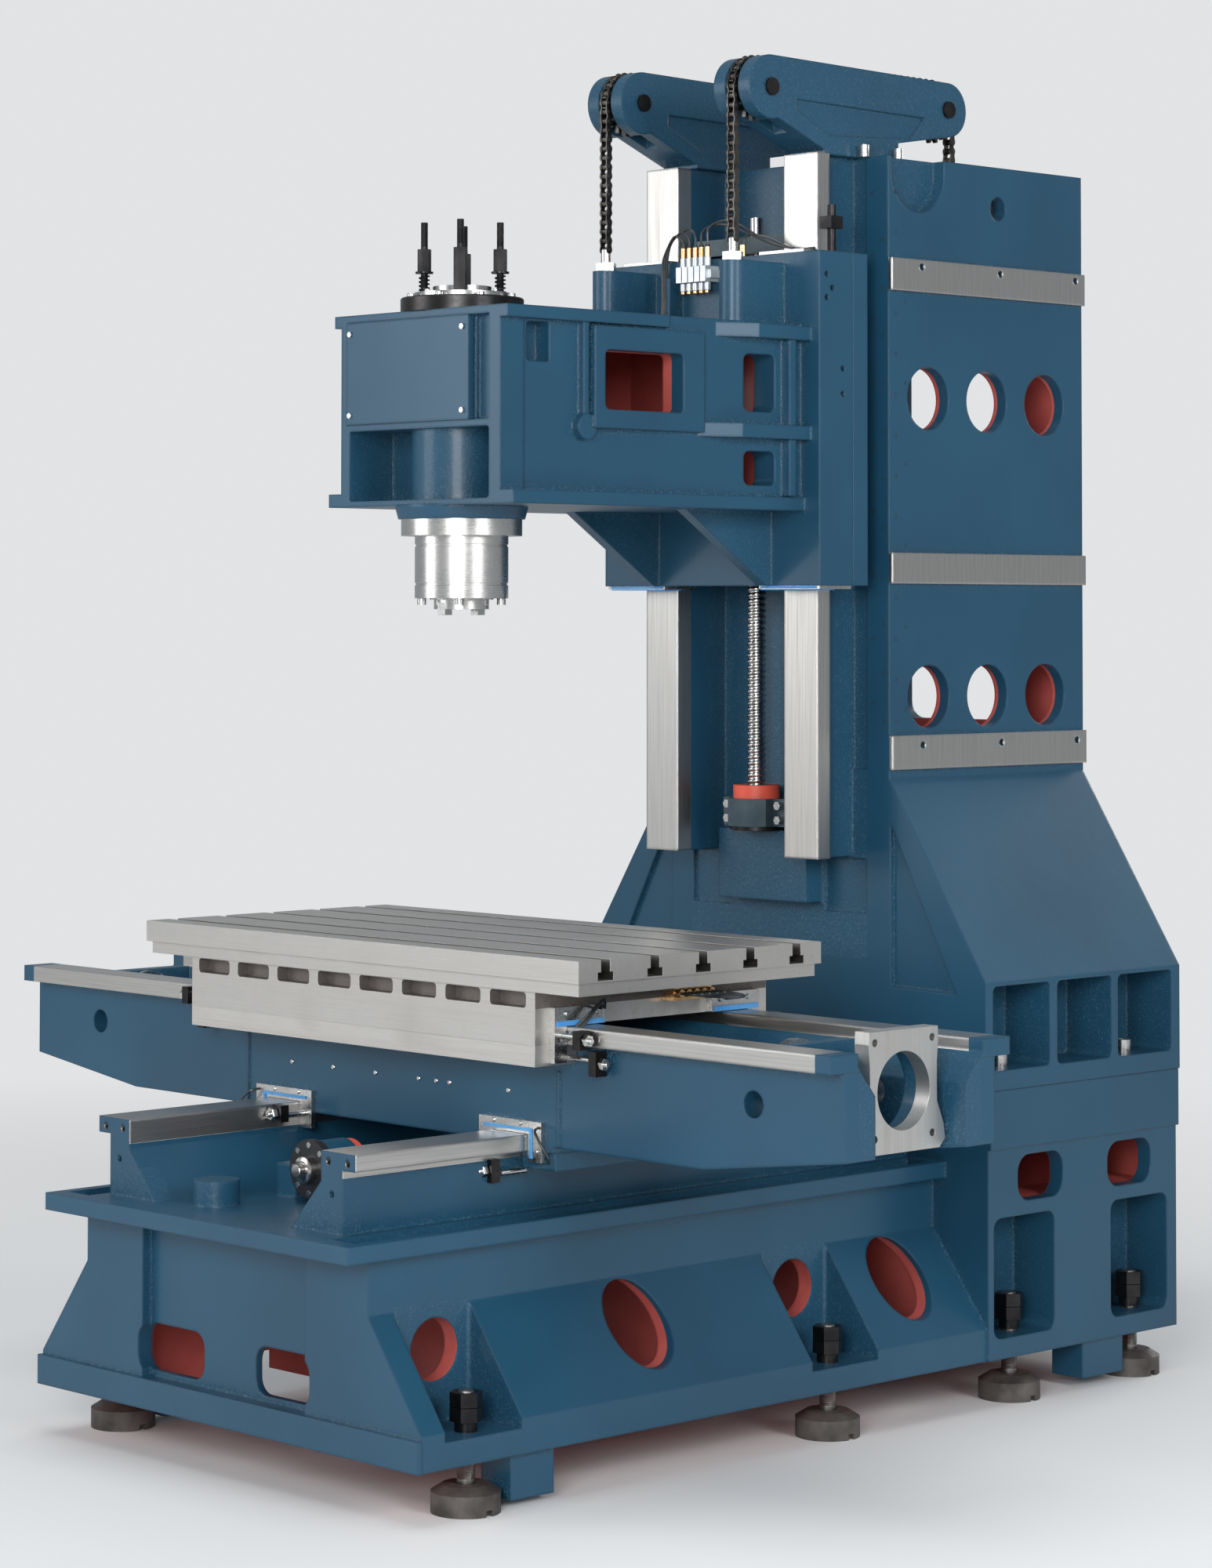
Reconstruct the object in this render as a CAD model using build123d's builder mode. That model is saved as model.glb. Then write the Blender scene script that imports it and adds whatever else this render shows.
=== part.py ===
"""Vertical machining centre: cast bed, cross saddle, T-slotted table, column and headstock.

Millimetres, +Z up. X runs to the operator's right, Y from the operator to the column, and
the floor is z = 0. The table, saddle and headstock stand at their middle working places.
"""
from build123d import *
import math
import os

os.makedirs("parts", exist_ok=True)

# Fits and walls
film = 0.05            # gap of a scraped slide on its way
seat = 0.1             # gap round a piece that drops into a recess
wall = 28.0            # casting wall
wall_thin = 20.0       # headstock wall

# Levelling feet
pad_r, pad_h, pad_top_r, pad_chamfer = 50.0, 30.0, 34.0, 10.0
stem_r, stem_top, socket_depth = 13.5, 170.0, 18.0
nut_af, nut_h, bush_h = 41.0, 20.0, 14.0
foot_x = 397.0
foot_y = [-692.0, 62.0, 496.0, 807.0]

# Bed casting
bed_front, bed_back = -815.0, 875.0
bed_z0, skirt_z0, skirt_z1 = 76.0, 127.0, 278.0
skirt_x0, skirt_x1 = 440.0, 327.0
rim_x, rim_front, rim_z0, rim_z1 = 354.0, -875.0, 358.0, 384.0
lug_z = 113.0          # top of the floor that a levelling nut bears on
block_front, block_x, block_top = 390.0, 444.0, 505.0
block_ledge_z, block_ledge = 410.0, 6.0
notch_y = [(-770.0, -623.0), (-18.0, 132.0)]
pocket_y = [(403.0, 555.0), (700.0, 850.0)]
pocket_z, pocket_x = (108.0, 300.0), 358.0
trough_x0, trough_depth = 284.0, 14.0

# Y ways, cast on the bed
way_x0, way_x1, way_top, way_under = 224.4, 299.1, 500.6, 476.0
way_web_x, way_ground_z, way_slope_z, way_foot_x = 271.0, 465.0, 457.0, 157.0

# Y screw
screw_r = 16.0
y_screw_z, y_flange_y = 434.0, -650.0
flange_r, drum_r, bumper_r = 44.0, 41.0, 39.0
drum_back, bumper_back = -580.0, -566.0
y_tail_y = 330.0

# Cross saddle, its X ways and the motor plate
cross_y = -317.5
cap_out, cap_in, cap_z0, cap_z1, cap_end = 188.5, 131.5, 642.6, 668.3, 922.5
beam_out, beam_in, beam_in_z = 157.0, 95.0, 607.0
saddle_z0, saddle_flat_x, saddle_end_x, saddle_end_z = 485.0, 645.0, 921.0, 521.0
x_screw_z, plate_x, plate_t, plate_bore = 604.0, 889.0, 26.0, 55.0
x_web, web_t = 690.0, 28.0   # web that carries the right bearing of the X screw
saddle_y0, saddle_y1 = cross_y - beam_out, cross_y + beam_out

# Table
slab_x, slab_y, slab_z0, slab_z1 = 500.0, 254.0, 720.5, 772.0
step_inset, step_z = 7.0, 739.3
body_x, body_y, body_z0 = 397.0, 242.0, cap_z1
slot_pitch, slot_w, slot_neck, foot_w, foot_h = 100.0, 18.0, 18.0, 31.0, 12.0
slot_count = 5
cell_w, cell_pitch, cell_first, cell_z, cell_depth = 77.0, 97.3, 17.0, (696.5, 719.0), 22.0
keeper_h = 30.0

# Column, its Z ways and skirt
col_x, col_y0, col_y1, col_top = 249.0, 375.0, 875.0, 2020.0
plinth_x, plinth_z1, taper_z1 = 453.0, 677.0, 997.0
strip_t = 7.5
strips_z = [(1797.5, 1851.0), (1315.4, 1366.0), (1010.6, 1066.4)]
strip_hole_y = [450.0, 650.0, 850.0]
port_r, port_y, port_z = 52.0, [472.5, 622.0, 773.0], [1622.0, 1129.0]
zway_x0, zway_x1, zway_y0, zway_y1, zway_z0 = 123.0, 196.3, 258.8, 289.7, 867.0
zweb_x1 = 168.0
cell_y = [(392.0, 535.0), (553.0, 694.0), (710.0, 854.0)]
cell_col_z = (536.0, 671.0)

# Z screw and its lower bearing
z_screw_y, z_bracket_z = 322.6, (912.0, 958.0)
z_top_z = (1866.0, 1894.0)

# Headstock
spindle_y, head_front = -344.0, -434.0
box_x, arm_x, head_z0, head_z1 = 176.0, 206.0, 1432.0, 1734.0
slide_y0, slide_x, slide_z0, slide_z1 = 210.0, 246.8, 1311.4, 1853.0
head_keeper_y = 325.6
cover_x, cover_z = (-171.0, 114.0), (1561.0, 1722.0)

# Spindle
nose_r, nose_z0, nose_z1 = 73.0, 1289.0, 1386.0
spindle_flange_r, boss_r, quill_r = 94.5, 104.0, 60.0
shaft_r, shaft_low_r, shaft_low_z = 50.0, 43.0, 1272.0
rod_off, rod_r, rod_top = 42.0, 5.75, 1877.0

# Counterweight chains
chain_x, sprocket_r, pin_r, pin_z = 147.0, 48.2, 14.0, 2119.0
front_pin_y, rear_pin_y = 161.0, 597.0
cheek_x, chain_gap = 40.0, 30.0
chain_w, chain_half, chain_air = 20.0, 7.5, 0.4
anchor_af, anchor_z, anchor_boss = 31.0, (1836.0, 1850.0), 22.0
weight_x, weight_y, weight_z = 190.0, (430.0, 820.0), (660.0, 1060.0)


def front(y):
    """Plane that faces the operator at depth y; its sketch axes are X and Z."""
    return Plane(origin=(0, y, 0), x_dir=(1, 0, 0), z_dir=(0, -1, 0))


def flank(x):
    """Plane that faces right at x; its sketch axes are Y and Z."""
    return Plane(origin=(x, 0, 0), x_dir=(0, 1, 0), z_dir=(1, 0, 0))


def level(z):
    """Plane that faces up at height z; its sketch axes are X and Y."""
    return Plane.XY.offset(z)


def prism(plane, depth, outline, mode=Mode.ADD, radius=0.0):
    """Extrude a closed outline along its plane's normal, with rounded corners if asked."""
    with BuildSketch(plane) as flat:
        with BuildLine():
            Polyline(*outline, close=True)
        make_face()
        if radius:
            fillet(flat.vertices(), radius)
    extrude(flat.sketch, amount=depth, dir=plane.z_dir, mode=mode)


def window(plane, depth, x, y, mode=Mode.SUBTRACT, radius=0.0):
    """Extrude the rectangle between two pairs of limits."""
    prism(plane, depth, [(x[0], y[0]), (x[1], y[0]), (x[1], y[1]), (x[0], y[1])], mode, radius)


def block(x, y, z, mode=Mode.ADD, radius=0.0):
    """Box between limits, with rounded upright edges if asked."""
    window(level(z[0]), z[1] - z[0], x, y, mode, radius)


def rounds(plane, depth, radius, points, mode=Mode.ADD):
    """Extrude one circle at each point of a plane."""
    with BuildSketch(plane) as flat:
        with Locations(*points):
            Circle(radius)
    extrude(flat.sketch, amount=depth, dir=plane.z_dir, mode=mode)


def hexes(plane, depth, across_flats, points, mode=Mode.ADD):
    """Extrude one hexagon at each point of a plane."""
    with BuildSketch(plane) as flat:
        with Locations(*points):
            RegularPolygon(across_flats / 2, 6, major_radius=False)
    extrude(flat.sketch, amount=depth, dir=plane.z_dir, mode=mode)


def turned(axis_point, direction, profile, mode=Mode.ADD):
    """Revolve a profile of (radius, distance) points about an axis through a point."""
    plane = Plane(origin=axis_point, z_dir=direction)
    half = Plane(origin=axis_point, x_dir=plane.x_dir, z_dir=-plane.y_dir)
    with BuildSketch(half) as flat:
        with BuildLine():
            Polyline(*profile, close=True)
        make_face()
    revolve(flat.sketch, axis=Axis(axis_point, direction), mode=mode)


def finish(piece, name):
    """Label a finished piece and write its file."""
    piece.part.label = name
    export_step(piece.part, f"parts/{name}.step")


sides = [-1, 1]


def both(low, high):
    """The limits on the right and their mirror on the left."""
    return [(low, high), (-high, -low)]


# Bed casting: skirted shell, rim, rear block and the two Y ways.
lug_wall = skirt_x1 - wall
skirt_slope = (skirt_x0 - skirt_x1) / (skirt_z1 - skirt_z0)
with BuildPart() as base_casting:
    prism(front(block_front + 12), block_front + 12 - bed_front, [
        (-skirt_x0, bed_z0), (skirt_x0, bed_z0), (skirt_x0, skirt_z0), (skirt_x1, skirt_z1),
        (skirt_x1, rim_z0 + 5), (-skirt_x1, rim_z0 + 5), (-skirt_x1, skirt_z1),
        (-skirt_x0, skirt_z0)])
    block((-rim_x, rim_x), (rim_front, block_front + 5), (rim_z0, rim_z1))
    block((-skirt_x0 - 3, skirt_x0 + 3), (bed_front - 8, bed_front), (bed_z0, 121))
    block((-block_x, block_x), (block_front, bed_back), (bed_z0, block_top))
    for x in both(block_x, block_x + block_ledge):
        block(x, (block_front, bed_back), (block_ledge_z, block_top))
    for x in both(trough_x0, rim_x - 20):
        block(x, (rim_front + 30, block_front - 12), (rim_z1 - trough_depth, rim_z1),
              Mode.SUBTRACT)
    for s in sides:
        prism(front(block_front + 5), block_front + 5 - bed_front, [
            (s * way_web_x, rim_z1 - 20), (s * way_web_x, way_under), (s * way_x1, way_under),
            (s * way_x1, way_top), (s * way_x0, way_top), (s * way_x0, way_slope_z),
            (s * way_foot_x, rim_z1 - 1), (s * way_foot_x, rim_z1 - 20)])
        # Notches for the levelling screws, with a straight wall behind each
        for y in notch_y:
            block((s * skirt_x1, s * (skirt_x0 + 30)), y, (lug_z, skirt_z1 + 2),
                  Mode.SUBTRACT, 6)
        for y in pocket_y:
            window(flank(s * pocket_x), s * (block_x - pocket_x + 20), y, pocket_z,
                   Mode.SUBTRACT, 18)
        # Blocks cast under the skirt
        block((s * 366, s * 428), (foot_y[0] + pad_r + 8, -550), (bed_z0 - 66, bed_z0 + 4))
        block((s * 372, s * 436), (636, 740), (bed_z0 - 60, bed_z0 + 4))
    # Hollow of the bed: three cells, the slanted side chambers and the rear cell
    roof = rim_z0 - 2
    for y in [(bed_front + wall, -480), (-456, -60), (-36, block_front - 20)]:
        block((-lug_wall, lug_wall), y, (bed_z0, roof), Mode.SUBTRACT)
    for s in sides:
        for y in [(notch_y[0][1] + wall, notch_y[1][0] - wall),
                  (notch_y[1][1] + wall, block_front - 20)]:
            prism(front(y[1]), y[1] - y[0], [
                (s * (lug_wall - 1), bed_z0), (s * (skirt_x0 - wall), bed_z0),
                (s * (skirt_x0 - wall), skirt_z0 - 8),
                (s * (lug_wall - 1), skirt_z1 - 10)], Mode.SUBTRACT)
    rear_x = pocket_x - wall
    block((-rear_x, rear_x), (block_front + wall, bed_back - wall), (bed_z0, block_top - wall),
          Mode.SUBTRACT)
    for s in sides:
        block((s * (rear_x - 1), s * (block_x - wall)), (block_front + wall, bed_back - wall),
              (pocket_z[1] + 20, block_top - wall), Mode.SUBTRACT)
        # Round and square windows into the hollow
        rounds(flank(s * 200), s * 150, 45, [(-690, 217), (57, 217)], Mode.SUBTRACT)
        rounds(flank(s * 280), s * 180, 60, [(-327, 215), (255, 215)], Mode.SUBTRACT)
        for y in [(463, 577), (692, 807)]:
            window(flank(s * 380), s * 90, y, (322, 396), Mode.SUBTRACT, 28)
        window(front(bed_front + 60), 90, (min(s * 60, s * 200), max(s * 60, s * 200)),
               (130, 201), Mode.SUBTRACT, 24)
    window(front(bed_front + 16), 40, (-190, 190), (121, rim_z0), Mode.SUBTRACT)
    # Bosses on the tray between the ways and the rib under the screw bearing
    rounds(level(rim_z1 - 2), 40, 35, [(-82, -760)])
    for x in both(48, 92):
        block(x, (y_flange_y + 14, drum_back - 8), (rim_z1 - 2, y_screw_z))
    # Holes for the levelling screws, and tapped holes
    rounds(level(bed_z0 - 1), lug_z - bed_z0 + 2, stem_r + 0.5,
           [(s * foot_x, y) for s in sides for y in foot_y], Mode.SUBTRACT)
    rounds(front(bed_front + 14), 16, 5, [
        (s * x, z) for s in sides for x, z in [(240, 486), (282, 486), (248, 440)]],
        Mode.SUBTRACT)
finish(base_casting, "base_casting")

# Levelling feet: slotted iron pad, threaded screw and two stacked nuts on each
feet = [(s * foot_x, y) for s in sides for y in foot_y]
with BuildPart() as levelling_pads:
    for x, y in feet:
        turned((x, y, 0), (0, 0, 1), [
            (0, 0), (pad_r, 0), (pad_r, pad_h), (pad_top_r, pad_h + pad_chamfer),
            (stem_r + 0.5, pad_h + pad_chamfer), (stem_r + 0.5, pad_h + pad_chamfer - socket_depth),
            (0, pad_h + pad_chamfer - socket_depth)])
        block((x - pad_r - 1, x - pad_r + 8), (y - 6, y + 6), (-1, 9), Mode.SUBTRACT)
        block((x + pad_r - 8, x + pad_r + 1), (y - 6, y + 6), (-1, 9), Mode.SUBTRACT)
finish(levelling_pads, "levelling_pads")

with BuildPart() as levelling_screws:
    rounds(level(pad_h + pad_chamfer - socket_depth), stem_top - pad_h - pad_chamfer + socket_depth,
           stem_r, feet)
finish(levelling_screws, "levelling_screws")

with BuildPart() as levelling_nuts:
    rounds(level(lug_z), bush_h + 1, stem_r + 3, feet)
    for z in (lug_z + bush_h, lug_z + bush_h + nut_h + 1):
        hexes(level(z), nut_h, nut_af, feet)
    rounds(level(lug_z), bush_h + 2 * nut_h + 2, stem_r + 0.2, feet, Mode.SUBTRACT)
finish(levelling_nuts, "levelling_nuts")

# Front bearing of the Y screw: flange, drum and bumper, and the rear bearing
with BuildPart() as y_bearing:
    turned((0, y_flange_y, y_screw_z), (0, 1, 0), [
        (screw_r + 1, 0), (flange_r, 0), (flange_r, 14), (drum_r, 14),
        (drum_r, drum_back - y_flange_y), (screw_r + 1, drum_back - y_flange_y)])
    with BuildSketch(front(y_flange_y)) as bolt_marks:
        with Locations((0, y_screw_z)):
            with PolarLocations(flange_r - 8, 8):
                Circle(4.5)
    extrude(bolt_marks.sketch, amount=-5, dir=(0, -1, 0), mode=Mode.SUBTRACT)
finish(y_bearing, "y_bearing")

with BuildPart() as y_bearing_bolts:
    with BuildSketch(front(y_flange_y + 5)) as bolt_heads:
        with Locations((0, y_screw_z)):
            with PolarLocations(flange_r - 8, 8):
                Circle(4.5 - seat)
    extrude(bolt_heads.sketch, amount=6, dir=(0, -1, 0))
finish(y_bearing_bolts, "y_bearing_bolts")

with BuildPart() as y_bumper:
    turned((0, drum_back, y_screw_z), (0, 1, 0), [
        (screw_r + 1.5, 0), (bumper_r, 0), (bumper_r, bumper_back - drum_back),
        (screw_r + 1.5, bumper_back - drum_back)])
finish(y_bumper, "y_bumper")

with BuildPart() as y_tail_bearing:
    block((-44, 44), (y_tail_y, y_tail_y + 40), (rim_z1, y_screw_z + 40))
    rounds(front(y_tail_y + 45), 60, screw_r + 0.05, [(0, y_screw_z)], Mode.SUBTRACT)
finish(y_tail_bearing, "y_tail_bearing")

with BuildPart() as y_ball_screw:
    turned((0, y_flange_y - 26, y_screw_z), (0, 1, 0), [
        (0, 0), (10, 0), (10, 12), (20, 12), (20, 25.8), (screw_r, 25.8),
        (screw_r, y_tail_y + 40 - y_flange_y + 26), (0, y_tail_y + 40 - y_flange_y + 26)])
finish(y_ball_screw, "y_ball_screw")

# Cross saddle: two beams with the X ways, end webs and a floor between them
with BuildPart() as saddle_casting:
    half = [(cap_out, cap_z1), (cap_in, cap_z1), (cap_in, 650), (beam_in, beam_in_z),
            (beam_in, saddle_z0), (beam_out, saddle_z0), (beam_out, cap_z0), (cap_out, cap_z0)]
    for s in sides:
        prism(flank(-cap_end), 2 * cap_end, [(cross_y + s * y, z) for y, z in half])
    block((-saddle_end_x + 60, saddle_end_x - 75), (cross_y - beam_in - 1, cross_y + beam_in + 1),
          (saddle_z0, saddle_z0 + 40))
    for s in sides:
        prism(front(saddle_y1 + 60), saddle_y1 - saddle_y0 + 120, [
            (s * saddle_flat_x, saddle_z0 - 1), (s * (saddle_end_x + 5), saddle_z0 - 1),
            (s * (saddle_end_x + 5), saddle_end_z)], Mode.SUBTRACT)
        for y in sides:
            y0, y1 = sorted((cross_y + y * (beam_out + 40), cross_y + y * (beam_in - 5)))
            block((s * saddle_end_x, s * (cap_end + 2)), (y0, y1), (saddle_z0 - 1, cap_z0),
                  Mode.SUBTRACT)
            # The cap stands proud of the beam on the outer face only
        # Channels that run on the Y ways
        block((s * (way_x0 - film), s * (way_x1 + film)), (saddle_y0 - 1, saddle_y1 + 1),
              (saddle_z0 - 1, way_top + film), Mode.SUBTRACT)
        block((s * (way_x1 + film), s * 346), (saddle_y0, saddle_y1), (way_under - film, saddle_z0 + 2))
        rounds(front(saddle_y1 + 5), saddle_y1 - saddle_y0 + 10, 19, [(s * 750, 585)],
               Mode.SUBTRACT)
        block((s * 356, s * 362), (saddle_y0 - 3, saddle_y0 + 1), (saddle_z0 + 2, 597))
    # Webs across the beams that carry the screw bearings
    block((-862, -834), (cross_y - beam_in - 1, cross_y + beam_in + 1), (saddle_z0 + 36, 655))
    for x in (plate_x - plate_t - web_t, x_web):
        block((x, x + web_t), (cross_y - beam_in - 1, cross_y + beam_in + 1), (519, 655))
    rounds(flank(plate_x - plate_t - web_t - 2), web_t + 4, plate_bore + 7, [(cross_y, x_screw_z)],
           Mode.SUBTRACT)
    rounds(flank(x_web - 2), web_t + 4, 40, [(cross_y, x_screw_z)], Mode.SUBTRACT)
    rounds(flank(-870), 60, 40, [(cross_y, x_screw_z)], Mode.SUBTRACT)
    # Nut housing of the Y screw under the rear beam
    block((-60, 60), (cross_y + 40, saddle_y1 - 30), (y_screw_z - 42, saddle_z0 + 2))
    rounds(front(saddle_y1), 300, 26, [(0, y_screw_z)], Mode.SUBTRACT)
finish(saddle_casting, "saddle_casting")

with BuildPart() as y_nut:
    turned((0, cross_y + 28, y_screw_z), (0, 1, 0), [
        (screw_r + 0.05, 0), (36, 0), (36, 12 - seat), (26 - seat, 12 - seat), (26 - seat, 90),
        (screw_r + 0.05, 90)])
finish(y_nut, "y_nut")

with BuildPart() as saddle_keepers:
    for x in both(way_web_x + 1, 345):
        block(x, (saddle_y0 + 6, saddle_y1 - 6), (way_under - film - 27, way_under - film))
finish(saddle_keepers, "saddle_keepers")

with BuildPart() as saddle_wipers:
    for x in both(194, 329):
        for y in [(saddle_y0 - 8, saddle_y0), (saddle_y1, saddle_y1 + 8)]:
            block(x, y, (461, 520))
    for x in both(way_foot_x, way_x1 + 0.6):
        block((x[0] if x[0] > 0 else -way_x1 - 0.6, x[1] if x[0] > 0 else -way_x0 + 0.6)
              if x[0] < 0 else (way_x0 - 0.6, way_x1 + 0.6),
              (saddle_y0 - 20, saddle_y1 + 20), (455, way_top + 0.6), Mode.SUBTRACT)
    for x in both(way_web_x - 0.6, way_x1 + 1):
        block(x, (saddle_y0 - 20, saddle_y1 + 20), (455, way_under + 1), Mode.SUBTRACT)
finish(saddle_wipers, "saddle_wipers")

# Motor plate of the X screw: waisted, with a wide bore and four bolt holes
with BuildPart() as x_motor_plate:
    half = [(75, 519), (87.5, 531), (84, 552), (70, 585), (70, 640), (73, 672), (72, 689)]
    prism(flank(plate_x - plate_t), plate_t,
          [(cross_y + y, z) for y, z in half] + [(cross_y - y, z) for y, z in reversed(half)])
    rounds(flank(plate_x - plate_t - 1), plate_t + 2, plate_bore, [(cross_y, x_screw_z)],
           Mode.SUBTRACT)
    rounds(flank(plate_x - plate_t - 1), plate_t + 2, 5.5,
           [(cross_y + y, z) for y in (-60, 60) for z in (674, 541)], Mode.SUBTRACT)
finish(x_motor_plate, "x_motor_plate")

with BuildPart() as x_bearings:
    turned((x_web, cross_y, x_screw_z), (-1, 0, 0), [
        (screw_r + 0.05, -web_t), (40 - seat, -web_t), (40 - seat, 0), (56, 0), (56, 14),
        (44, 14), (44, 40), (screw_r + 0.05, 40)])
    turned((-834, cross_y, x_screw_z), (-1, 0, 0), [
        (screw_r + 0.05, -12), (50, -12), (50, 0), (40 - seat, 0), (40 - seat, 24),
        (screw_r + 0.05, 24)])
finish(x_bearings, "x_bearings")

with BuildPart() as x_ball_screw:
    turned((-856, cross_y, x_screw_z), (1, 0, 0), [
        (0, 0), (screw_r, 0), (screw_r, x_web + web_t + 856), (11, x_web + web_t + 856),
        (11, x_web + web_t + 892), (0, x_web + web_t + 892)])
finish(x_ball_screw, "x_ball_screw")

# Table: slab with T-slots over a body whose side walls have cored pockets
with BuildPart() as table_casting:
    block((-slab_x, slab_x), (cross_y - slab_y, cross_y + slab_y), (step_z, slab_z1))
    block((-slab_x + step_inset, slab_x - step_inset),
          (cross_y - slab_y + step_inset, cross_y + slab_y - step_inset), (slab_z0, step_z))
    block((-body_x, body_x), (cross_y - body_y, cross_y + body_y), (body_z0 + film, slab_z0))
    for s in sides:
        block((-body_x, body_x), (cross_y + s * (cap_out + film), cross_y + s * body_y),
              (cap_z0, body_z0 + film))
        for i in range(8):
            x0 = -body_x + cell_first + i * cell_pitch
            window(front(cross_y + s * (body_y - cell_depth)), s * (-cell_depth - 2),
                   (x0, x0 + cell_w), cell_z, Mode.SUBTRACT, 6)
    for i in range(slot_count):
        y = cross_y + (i - (slot_count - 1) / 2) * slot_pitch
        prism(flank(-slab_x - 1), 2 * slab_x + 2, [
            (y - slot_w / 2, slab_z1 + 1), (y - slot_w / 2, slab_z1 - slot_neck),
            (y - foot_w / 2, slab_z1 - slot_neck), (y - foot_w / 2, slab_z1 - slot_neck - foot_h),
            (y + foot_w / 2, slab_z1 - slot_neck - foot_h), (y + foot_w / 2, slab_z1 - slot_neck),
            (y + slot_w / 2, slab_z1 - slot_neck), (y + slot_w / 2, slab_z1 + 1)], Mode.SUBTRACT)
    # Nut housing of the X screw
    block((-60, 60), (cross_y - 45, cross_y + 45), (x_screw_z - 42, body_z0 + 1))
    rounds(flank(-62), 124, 26, [(cross_y, x_screw_z)], Mode.SUBTRACT)
finish(table_casting, "table_casting")

with BuildPart() as x_nut:
    turned((-72, cross_y, x_screw_z), (1, 0, 0), [
        (screw_r + 0.05, 0), (36, 0), (36, 12 - seat), (26 - seat, 12 - seat), (26 - seat, 110),
        (screw_r + 0.05, 110)])
finish(x_nut, "x_nut")

with BuildPart() as table_keepers:
    for s in sides:
        block((-body_x, body_x), (cross_y + s * (beam_out + 1), cross_y + s * body_y),
              (cap_z0 - film - keeper_h, cap_z0 - film))
finish(table_keepers, "table_keepers")

with BuildPart() as table_wipers:
    for s in sides:
        for x in [(-body_x - 12, -body_x), (body_x, body_x + 12)]:
            y0, y1 = sorted((cross_y + s * 112, cross_y + s * 214))
            block(x, (y0, y1), (cap_z0 - 26, 697))
            y0, y1 = sorted((cross_y + s * (cap_in - 0.6), cross_y + s * (cap_out + 0.6)))
            block(x, (y0, y1), (cap_z0 - 30, cap_z1 + 0.6), Mode.SUBTRACT)
            y0, y1 = sorted((cross_y + s * 100, cross_y + s * (beam_out + 0.6)))
            block(x, (y0, y1), (cap_z0 - 30, cap_z0 + 1), Mode.SUBTRACT)
            block(x, (cross_y - cap_in, cross_y + cap_in), (cap_z0 - 30, cap_z1 + 0.6), Mode.SUBTRACT)
finish(table_wipers, "table_wipers")

with BuildPart() as table_manifold:
    block((body_x, body_x + 22), (cross_y + 20, cross_y + 100), (692, 714))
    rounds(flank(body_x + 22), 10, 6, [(cross_y + 28 + 16 * i, 703) for i in range(5)])
finish(table_manifold, "table_manifold")

# Column: plinth, tapered skirt, shaft and the two Z ways
with BuildPart() as column_casting:
    prism(front(col_y1), col_y1 - col_y0, [
        (-plinth_x, block_top), (plinth_x, block_top), (plinth_x, plinth_z1), (col_x, taper_z1),
        (col_x, col_top), (-col_x, col_top), (-col_x, taper_z1), (-plinth_x, plinth_z1)])
    for x in both(col_x, col_x + strip_t):
        for z in strips_z:
            block(x, (col_y0, col_y1), z)
    for s in sides:
        window(front(zway_y1), zway_y1 - zway_y0, (min(s * zway_x0, s * zway_x1),
               max(s * zway_x0, s * zway_x1)), (zway_z0, col_top), Mode.ADD)
        window(front(col_y0 + 1), col_y0 + 2 - zway_y1, (min(s * zway_x0, s * zweb_x1),
               max(s * zway_x0, s * zweb_x1)), (zway_z0, col_top), Mode.ADD)
    # Hollow shaft and skirt
    block((-col_x + wall, col_x - wall), (col_y0 + wall, col_y1 - wall),
          (plinth_z1, col_top - wall), Mode.SUBTRACT)
    prism(front(col_y1 - wall), col_y1 - col_y0 - 2 * wall, [
        (-plinth_x + 95 + wall, block_top + wall), (plinth_x - 95 - wall, block_top + wall),
        (plinth_x - 95 - wall, plinth_z1 + 60), (col_x - wall, taper_z1 - 30),
        (-col_x + wall, taper_z1 - 30), (-plinth_x + 95 + wall, plinth_z1 + 60)], Mode.SUBTRACT)
    for s in sides:
        for y in cell_y:
            window(flank(s * (plinth_x - 95)), s * 100, y, cell_col_z, Mode.SUBTRACT, 10)
        rounds(flank(s * (col_x - wall - 5)), s * (wall + 10), port_r,
               [(y, z) for y in port_y for z in port_z], Mode.SUBTRACT)
        rounds(flank(s * (col_x - wall - 5)), s * (wall + 10), 20, [(653, 1950)], Mode.SUBTRACT)
        window(flank(s * (col_x - 24)), s * 30, (448 - 66, 448 + 66), (1930, col_top + 80),
               Mode.SUBTRACT, 64)
        rounds(flank(s * (col_x + strip_t - 14)), s * 20, 6,
               [(y, z) for y in strip_hole_y for z in (1839, 1050)], Mode.SUBTRACT)
        prism(front(col_y0 + 8), 12, [(s * 251, 923), (s * 251, 659), (s * 391, 656)],
              Mode.SUBTRACT)
        window(front(col_y0 + 5), 8, (min(s * zweb_x1, s * 199), max(s * zweb_x1, s * 199)),
               (1010, col_top + 5), Mode.SUBTRACT)
    block((-190, 190), (500, 820), (col_top - wall - 1, col_top + 1), Mode.SUBTRACT, 20)
    for z in [(720, 960), (1080, 1380), (1440, 1800)]:
        window(front(col_y1 + 5), wall + 10, (-140, 140), z, Mode.SUBTRACT, 30)
    block((-100, 100), (335, col_y0 + 1), (788, 905))
    window(front(col_y0 + 6), 8, (-198, -104), (774, 863), Mode.SUBTRACT)
    window(front(col_y0 + 6), 8, (104, 198), (774, 863), Mode.SUBTRACT)
    rounds(level(block_top - 1), 40, 9, [
        (s * (plinth_x - 48), (y[0] + y[1]) / 2) for s in sides for y in (cell_y[0], cell_y[2])],
        Mode.SUBTRACT)
finish(column_casting, "column_casting")

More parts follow.
